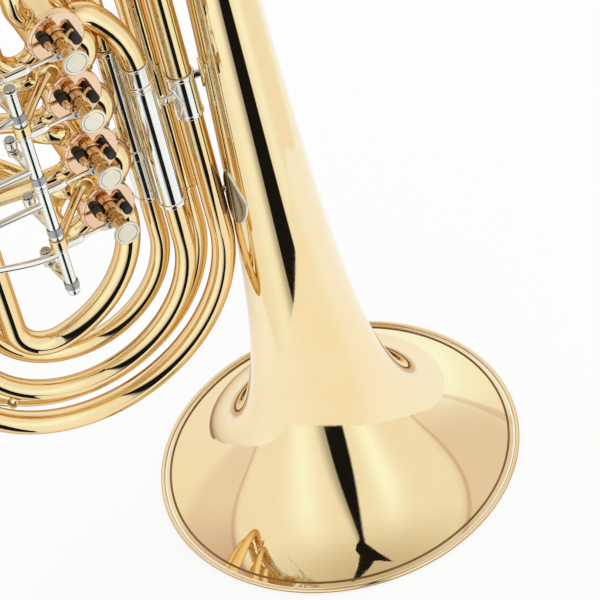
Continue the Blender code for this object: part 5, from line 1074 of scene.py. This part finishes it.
# %% Fourth valve's slide
def make_fourth_slide():
    """Two equal sleeves, the long slide between them, and the crooks behind the valves."""
    bore = VALVE_TUBE + 0.0001
    for side, x, top in (("right", FOURTH_LEG_X, FOURTH_SLEEVE_TOP),
                         ("left", FOURTH_LEFT_X, FOURTH_LEFT_SLEEVE_TOP)):
        rings = [(FOURTH_SLEEVE_BOTTOM, FOURTH_SLEEVE_BOTTOM + 0.0026, 0.0007),
                 (top - 0.0026, top, 0.0007)]
        add_piece(f"fourth_sleeve_{side}",
                  [sleeve(VALVE_SLEEVE, bore, FOURTH_SLEEVE_BOTTOM, top, rings, x, BACK_Y)],
                  BRASS if side == "right" else NICKEL, node=f"fourth_sleeve_{side}")
    valve_tube("fourth_slide",
               slide_bow((FOURTH_LEG_X, BACK_Y, FOURTH_BOW_Z),
                         (FOURTH_LEFT_X, BACK_Y, FOURTH_BOW_Z), FOURTH_LEG_LENGTH, Z_AXIS),
               "fourth_slide")
    top = FOURTH_LEFT_SLEEVE_TOP + GAP
    start = port_point(4, -1, 1, PORT_REACH + GAP)
    guide = [start - port_direction(1) * 0.006, start, (-0.1045, -0.002, start[2] + 0.0024),
             (-0.112, 0.006, 0.2650), (-0.121, 0.016, 0.2690), (-0.132, BACK_Y, 0.280),
             (-0.147, BACK_Y, 0.306), (-0.158, BACK_Y, 0.330), (-0.172, BACK_Y, 0.3435),
             (FOURTH_LEFT_X, BACK_Y, top + 0.006), (FOURTH_LEFT_X, BACK_Y, top),
             (FOURTH_LEFT_X, BACK_Y, top - 0.006)]
    valve_tube("fourth_crook_left", smooth_run(guide), start=port_direction(1), end=-Z_AXIS)
    top = FOURTH_SLEEVE_TOP + GAP
    start = port_point(4, -1, -1, PORT_REACH + GAP)
    level = start[2]
    half, angle = (RISER_Y - BACK_Y) / 2, np.linspace(np.pi, 0, 33)
    over = np.stack([np.full(33, FOURTH_LEG_X), BACK_Y + half - half * np.cos(angle),
                     top + half * np.sin(angle)], axis=1)
    guide = [start - port_direction(-1) * 0.006, start, (-0.1040, -0.002, level - 0.0034),
             (-0.1095, 0.007, level - 0.0058), (-0.1085, 0.019, level - 0.0055),
             (-0.098, 0.0275, level - 0.003), (-0.080, 0.031, level), (-0.058, 0.036, level + 0.006),
             (-0.0425, RISER_Y, level + 0.018), (FOURTH_LEG_X, RISER_Y, level + 0.036),
             (FOURTH_LEG_X, RISER_Y, top), (FOURTH_LEG_X, RISER_Y, top + 0.010)]
    valve_tube("fourth_crook_right", joined_path(smooth_run(guide), over),
               start=port_direction(-1), end=-Z_AXIS)


# %% First and second valve's slides
def sleeved_branch(name, path, sleeve_from, start):
    """Branch tube with a nickel sleeve over its straight end."""
    away = path[-1] - sleeve_from
    length = np.linalg.norm(away)
    valve_tube(name, joined_path(path[:-1], sleeve_from + away * 0.0018 / length), start=start)
    profile = [(VALVE_TUBE + 0.0001, 0), (VALVE_SLEEVE + STEP, 0), (VALVE_SLEEVE + STEP, 0.0018),
               (VALVE_SLEEVE, 0.0022), (VALVE_SLEEVE, length - 0.0022),
               (VALVE_SLEEVE + STEP, length - 0.0018), (VALVE_SLEEVE + STEP, length),
               (VALVE_TUBE + 0.0001, length)]
    add_piece(name + "_sleeve", [turned(profile, sleeve_from, away, 0.0002)], NICKEL, node=name)


def make_first_slide():
    """Two branches that ease back and rise behind the crossover bow, and the bow on top."""
    legs = []
    for name, level, side, radius, last in (
            ("first_branch_upper", 1, 1, FIRST_ELBOW_RADIUS, 180),
            ("first_branch_lower", -1, -1, FIRST_ELBOW_RADIUS, -180)):
        start = port_point(1, -1, level, PORT_REACH + GAP)
        centre = start + np.array([side * DIAGONAL, 0, DIAGONAL]) * radius
        first = 225 if level > 0 else -45
        elbow = arc(centre[0], centre[2], radius, first, last, PORT_Y, steps=24)
        x = elbow[-1][0]
        legs.append(x)
        sleeve_from = np.array([x, FIRST_SLIDE_Y, FIRST_SLEEVE_BOTTOM])
        path = joined_path(elbow,
                           shift_run(elbow[-1] + np.array([0, 0, 0.004]),
                                     (x, FIRST_SLIDE_Y, FIRST_SLEEVE_BOTTOM - 0.004)),
                           sleeve_from, (x, FIRST_SLIDE_Y, FIRST_SLEEVE_TOP))
        sleeved_branch(name, path, sleeve_from, port_direction(level))
    valve_tube("first_slide",
               slide_bow((legs[0], FIRST_SLIDE_Y, FIRST_BOW_Z),
                         (legs[1], FIRST_SLIDE_Y, FIRST_BOW_Z),
                         FIRST_BOW_Z - FIRST_SLEEVE_BOTTOM - 0.002, -Z_AXIS), "first_slide")


def make_second_slide():
    """Two short branches to the left and the bow that joins them."""
    levels = []
    for name, level in (("second_branch_upper", 1), ("second_branch_lower", -1)):
        elbow = left_elbow(2, level)
        z = elbow[-1][2]
        levels.append(z)
        sleeve_from = np.array([SECOND_SLEEVE_START, MIDDLE_Y, z])
        path = joined_path(elbow, shift_run(elbow[-1], sleeve_from),
                           (SECOND_SLEEVE_END, MIDDLE_Y, z))
        sleeved_branch(name, path, sleeve_from, port_direction(level))
    valve_tube("second_slide",
               slide_bow((SECOND_BOW_X, MIDDLE_Y, levels[0]), (SECOND_BOW_X, MIDDLE_Y, levels[1]),
                         SECOND_SLEEVE_START - SECOND_BOW_X - 0.002, X_AXIS), "second_slide")


make_third_slide()
make_fourth_slide()
make_first_slide()
make_second_slide()

# %% [markdown]
# ## Braces
# Stays are soldered between the bell, the inner leg and the tuning sleeve, each on a foot that
# is cut to a point and bent to the wall it lies on. The leaf on the bell has a rounded lower end.

# %% Braces on the bell
def make_braces():
    """Bell brace, sleeve brace and leaf stay: a plate on each wall and a rod between them."""
    ferrule = MAIN_TUBE + GAP + WALL
    angle = math.degrees(math.atan2(MIDDLE_Y, INNER_LEG_X))
    distance = math.hypot(INNER_LEG_X, MIDDLE_Y)
    toward = np.array([math.cos(math.radians(angle)), math.sin(math.radians(angle)), 0])
    lift = Z_AXIS * BRACE_Z
    foot = soldered_foot((0, 0), bell_radius, angle, BRACE_Z, 0.0095, 0.0052)
    bar = tube([toward * (bell_radius(BRACE_Z) - 0.0002) + lift,
                toward * (distance - ferrule) + lift], 0.0024, sides=28)
    add_piece("bell_brace", [bar], NICKEL, node="bell_brace")
    add_piece("bell_brace_foot", [foot], BRASS, node="bell_brace")
    start = np.array([TUNING_LEG_X, FRONT_Y, BRACE_Z])
    end = np.array([INNER_LEG_X, MIDDLE_Y, BRACE_Z])
    way = (end - start) / np.linalg.norm(end - start)
    facing = math.degrees(math.atan2(way[1], way[0]))
    first = soldered_foot((TUNING_LEG_X, FRONT_Y), lambda z: TUNING_SLEEVE, facing, BRACE_Z,
                          0.009, 0.0048)
    second = soldered_foot((INNER_LEG_X, MIDDLE_Y), lambda z: ferrule, facing + 180,
                           BRACE_Z - 0.0105, 0.0095, 0.0048)
    bar = stay(start + way * TUNING_SLEEVE, end - way * ferrule - Z_AXIS * 0.006)
    add_piece("sleeve_brace", [first, second, bar], NICKEL, node="sleeve_brace")
    lift = Z_AXIS * LEAF_Z
    leaf = soldered_foot((0, 0), bell_radius, angle + 20, LEAF_Z, 0.017, 0.0105, False)
    bar = tube([toward * (bell_radius(LEAF_Z) - 0.0002) + lift,
                toward * (distance - MAIN_TUBE) + lift], 0.0022, sides=28)
    add_piece("leaf_stay", [bar], NICKEL, node="leaf_stay")
    add_piece("leaf_plate", [leaf], DARK_NICKEL, node="leaf_stay")
    grid = leaf[0]
    outline = np.vstack([grid[2:-2, 0], grid[-3:1:-1, 16]])
    rim = tube(np.vstack([outline, outline[:1]]), 0.0005, sides=10)
    add_piece("leaf_rim", [rim], NICKEL, node="leaf_stay")


make_braces()

# %% [markdown]
# ## Camera
# The photograph looks down at the bell from the front left, turned a little about its own line
# of sight. The camera stands 1.75 m away with a long lens, so the tubes stay nearly parallel.

# %% Camera
AZIMUTH, ELEVATION, ROLL = (math.radians(angle) for angle in (-16.32, 43.75, 14.34))
LENS, SENSOR = 199.7, 36.0
CAMERA_AT = Vector((-0.3553, -1.2132, 1.3310)) + Vector(SHIFT)


def add_camera():
    """Camera whose three axes are worked out from azimuth, elevation and roll."""
    back = Vector((math.sin(AZIMUTH) * math.cos(ELEVATION),
                   -math.cos(AZIMUTH) * math.cos(ELEVATION), math.sin(ELEVATION)))
    level = Vector((math.cos(AZIMUTH), math.sin(AZIMUTH), 0.0))
    up = back.cross(level)
    right = math.cos(ROLL) * level - math.sin(ROLL) * up
    over = math.sin(ROLL) * level + math.cos(ROLL) * up
    data = bpy.data.cameras.new("camera")
    data.lens, data.sensor_width, data.clip_start, data.clip_end = LENS, SENSOR, 0.05, 50.0
    camera = bpy.data.objects.new("camera", data)
    bpy.context.collection.objects.link(camera)
    turn = Matrix((right, over, back)).transposed().to_4x4()
    camera.matrix_world = Matrix.Translation(CAMERA_AT) @ turn
    bpy.context.scene.camera = camera


add_camera()
print("camera at", [round(v, 3) for v in CAMERA_AT])

# %% [markdown]
# ## Light and floor
# Polished metal shows what stands round it. The studio is white, and black cards, which the
# camera itself doesn't see, draw the long dark lines on the tubes and on the bell.

# %% World
def paint_world():
    """White to the camera and in reflections, softer as light on the floor."""
    world = bpy.data.worlds.new("studio")
    bpy.context.scene.world = world
    world.use_nodes = True
    tree = world.node_tree
    rays = tree.nodes.new("ShaderNodeLightPath")
    seen = tree.nodes.new("ShaderNodeMath")
    seen.operation = "MAXIMUM"
    tree.links.new(rays.outputs["Is Camera Ray"], seen.inputs[0])
    tree.links.new(rays.outputs["Is Glossy Ray"], seen.inputs[1])
    both = tree.nodes.new("ShaderNodeMath")
    both.operation = "MAXIMUM"
    tree.links.new(seen.outputs[0], both.inputs[0])
    tree.links.new(rays.outputs["Is Transmission Ray"], both.inputs[1])
    strength = tree.nodes.new("ShaderNodeMapRange")
    strength.inputs["To Min"].default_value = 0.75
    strength.inputs["To Max"].default_value = 1.0
    tree.links.new(both.outputs[0], strength.inputs["Value"])
    tree.links.new(strength.outputs["Result"], tree.nodes["Background"].inputs["Strength"])
    tree.nodes["Background"].inputs["Color"].default_value = (1.0, 1.0, 1.0, 1.0)


# %% Floor and cards
def flat_panel(name, corners, material):
    """One quad through four corners."""
    mesh = bpy.data.meshes.new(name)
    mesh.from_pydata([list(corner) for corner in corners], [], [(0, 1, 2, 3)])
    mesh.materials.append(material)
    panel = bpy.data.objects.new(name, mesh)
    bpy.context.collection.objects.link(panel)
    return panel


def add_floor(half=12.0, light=0.82):
    """Pale floor: mostly its own even white to the camera and in gloss, the rest takes shadow."""
    material = bpy.data.materials.new("pale floor")
    material.use_nodes = True
    tree = material.node_tree
    shader = tree.nodes["Principled BSDF"]
    shader.inputs["Base Color"].default_value = (0.95, 0.95, 0.95, 1.0)
    shader.inputs["Roughness"].default_value = 0.9
    shader.inputs["Specular IOR Level"].default_value = 0.0
    glow = tree.nodes.new("ShaderNodeEmission")
    rays = tree.nodes.new("ShaderNodeLightPath")
    seen = tree.nodes.new("ShaderNodeMath")
    seen.operation = "MAXIMUM"
    tree.links.new(rays.outputs["Is Camera Ray"], seen.inputs[0])
    tree.links.new(rays.outputs["Is Glossy Ray"], seen.inputs[1])
    both = tree.nodes.new("ShaderNodeMath")
    both.operation = "MAXIMUM"
    tree.links.new(seen.outputs[0], both.inputs[0])
    tree.links.new(rays.outputs["Is Transmission Ray"], both.inputs[1])
    share = tree.nodes.new("ShaderNodeMath")
    share.operation = "MULTIPLY"
    share.inputs[1].default_value = light
    tree.links.new(both.outputs[0], share.inputs[0])
    mix = tree.nodes.new("ShaderNodeMixShader")
    tree.links.new(share.outputs[0], mix.inputs["Fac"])
    tree.links.new(shader.outputs["BSDF"], mix.inputs[1])
    tree.links.new(glow.outputs["Emission"], mix.inputs[2])
    tree.links.new(mix.outputs["Shader"], tree.nodes["Material Output"].inputs["Surface"])
    panel = flat_panel("floor", [(-half, -half, -0.0005), (half, -half, -0.0005),
                                 (half, half, -0.0005), (-half, half, -0.0005)], material)
    panel.visible_glossy = False


def reflected_panel(name, points, faces, level):
    """Mesh that shows only in reflections, in the light written on its vertices."""
    mesh = bpy.data.meshes.new(name)
    mesh.from_pydata((points + SHIFT).tolist(), [], faces)
    level = np.asarray(level).reshape(-1, 3)
    colour = np.column_stack([level, np.ones(len(level))]).astype(np.float32)
    mesh.attributes.new("light", "FLOAT_COLOR", "POINT").data.foreach_set("color", colour.ravel())
    material = bpy.data.materials.new(name)
    material.use_nodes = True
    tree = material.node_tree
    light = tree.nodes.new("ShaderNodeAttribute")
    light.attribute_name = "light"
    glow = tree.nodes.new("ShaderNodeEmission")
    tree.links.new(light.outputs["Color"], glow.inputs["Color"])
    tree.links.new(glow.outputs["Emission"], tree.nodes["Material Output"].inputs["Surface"])
    mesh.materials.append(material)
    panel = bpy.data.objects.new(name, mesh)
    bpy.context.collection.objects.link(panel)
    panel.visible_camera = panel.visible_diffuse = panel.visible_shadow = False
    panel.visible_transmission = False


def ease(value):
    """Zero below 0, one above 1, and 3 v squared less 2 v cubed between."""
    value = np.clip(value, 0.0, 1.0)
    return value * value * (3 - 2 * value)


# %% The tent round the instrument
TENT_RADIUS, SLIT_AT = 0.75, 15.8


def apart(turn, middle):
    """Angle between two azimuths, in degrees."""
    return np.abs((turn - middle + 180) % 360 - 180)


def make_tent(columns=720, rows=171):
    """Wall below the floor, dome above: bright bands, dimmer overhead, and a slit that narrows."""
    turn = np.linspace(-180, 180, columns, endpoint=False)[None, :]
    lift = np.linspace(-50.0, 90.0, rows)[:, None]
    a, e = np.radians(turn), np.radians(np.maximum(lift, 0.0))
    height = np.where(lift < 0, np.tan(np.radians(lift)), np.sin(e))
    points = TENT_RADIUS * np.stack([-np.sin(a) * np.cos(e), -np.cos(a) * np.cos(e),
                                     height + 0 * a], axis=2)
    points[0, :, :2] = 0.0
    glare, grey = np.array([0.35, 1.05, 1.45]), np.array([0.62, 0.95, 0.95])
    level = 0.96 + 0 * (turn + lift)[..., None] * glare
    for middle, width, end, rise in ((-20, 13, 75, 0.26), (60, 16, 75, 0.24), (-135, 32, 40, 0.26)):
        band = ease((end - lift) / 45) * (0.5 + 0.5 * ease((lift + 25) / 20))
        level += (rise * np.exp(-(apart(turn, middle) / width) ** 2) * band)[..., None] * glare
    shade = 0.20 * ease((24 - apart(turn, -97)) / 10) * ease((lift + 20) / 40)
    side = (0.14 + 0.35 * ease((lift - 25) / 35)) * ease((lift + 20) / 15)
    shade = shade + side * ease((18 - apart(turn, 131)) / 9)
    for seam in (-81, -117, 119):
        shade = shade + 0.22 * ease(1.8 - apart(turn, seam)) * ease((lift + 12) / 4)
    level -= shade[..., None] * grey
    half = np.maximum(9.9 - 0.14 * lift + 2.7 * ease((-9 - lift) / 6), 1.3)
    aside = (turn - SLIT_AT + 180) % 360 - 180
    right = ease((-aside - half) / 3.0)
    left = 0.45 * ease((aside - half) / 1.5) + 0.55 * ease((aside - half) / (16 - 0.15 * lift))
    slit = np.where(aside < 0, right, left)
    level *= np.where(lift < 76, np.maximum(slit, 0.01), 1.0)[..., None]
    warm = ease((lift - 50) / 38)[..., None] * np.array([0.38, 0.44, 0.56])
    faces = quads(rows, columns, 0, False).tolist()
    reflected_panel("tent", points.reshape(-1, 3), faces, level * (1 - warm))


def make_tent_star():
    """Where the tent's panels part overhead: a small ragged dark shape at the top of the slit."""
    outline = np.array([(-0.102, 0.005), (-0.076, -0.021), (-0.024, -0.099), (0.002, -0.151),
                        (0.041, -0.144), (0.112, -0.118), (0.067, -0.177), (0.015, -0.235),
                        (-0.024, -0.287), (-0.076, -0.333), (-0.115, -0.411), (-0.147, -0.307),
                        (-0.141, -0.255), (-0.102, -0.203), (-0.095, -0.099)])
    height = 0.62
    points = np.array([-0.02, -0.07, 0.02]) + height * np.column_stack([outline, np.ones(15)])
    reflected_panel("tent_star", points, [list(range(15))], np.full((15, 3), 0.01))


TABLE_END = np.array([(-180, 0.75, 0.0), (-114, 0.75, 0.0), (-101, 0.40, 0.010),
                      (-88, 0.303, 0.010), (-72, 0.304, 0.010), (-48, 0.322, 0.010),
                      (-17, 0.279, 0.017), (0, 0.236, 0.022), (25, 0.205, 0.025),
                      (46, 0.187, 0.025), (69, 0.164, 0.025), (80, 0.159, 0.025),
                      (91, 0.178, 0.020), (104, 0.205, 0.012), (112, 0.235, 0.004),
                      (119, 0.241, 0.0), (131, 0.21, 0.0), (142, 0.20, 0.0), (154, 0.278, 0.0),
                      (165, 0.75, 0.0), (180, 0.75, 0.0)])


def make_table(columns=360, rows=151):
    """White table top that ends in front, with a browner patch of painted shade and painted brass
    reflection behind, and a painted contact-shadow line at the rim.
    """
    turn = np.linspace(-180, 180, columns, endpoint=False)[None, :]
    end, rise = (np.interp(turn, TABLE_END[:, 0], TABLE_END[:, k]) for k in (1, 2))
    reach = end * np.linspace(0.0, 1.0, rows)[:, None]
    x, y = -reach * np.sin(np.radians(turn)), -reach * np.cos(np.radians(turn))
    z = rise * ease((reach - 0.115) / (end - 0.115))
    # Painted shade and painted brass reflection: a browner, darker patch behind the instrument,
    # where the floor lies in shadow and the tubes reflect each other.
    patch = np.exp(-((x + 0.26) / 0.32) ** 4 - ((y - 0.43) / 0.25) ** 4)[..., None]
    light = 1 - patch * np.array([0.66, 0.82, 0.90])
    # Painted shadow: a dark line at the bell's rim stands for the contact shadow where the rim meets
    # the floor.
    line = np.exp(-((reach - BELL_RADIUS) / 0.006) ** 2)[..., None]
    light = light * (1 - line * np.array([0.62, 0.72, 0.82]))
    light += ease((np.abs(x) - 0.08) / 0.12)[..., None] * np.array([0.01, 0.08, 0.22])
    faces = quads(rows, columns, 0, False).tolist()
    reflected_panel("table", np.stack([x, y, z], axis=2).reshape(-1, 3), faces, light)


paint_world()
add_floor()
make_tent()
make_tent_star()
make_table()
key = bpy.data.objects.new("overhead", bpy.data.lights.new("overhead", "AREA"))
key.data.shape, key.data.size, key.data.size_y, key.data.energy = "RECTANGLE", 1.6, 1.2, 12.0
key.location = (0.2, 0.2, 2.2)
bpy.context.collection.objects.link(key)
key.visible_glossy = False

# %% [markdown]
# The file ends with the view settings.

# %% Settings
bpy.context.scene.view_settings.view_transform = "Standard"
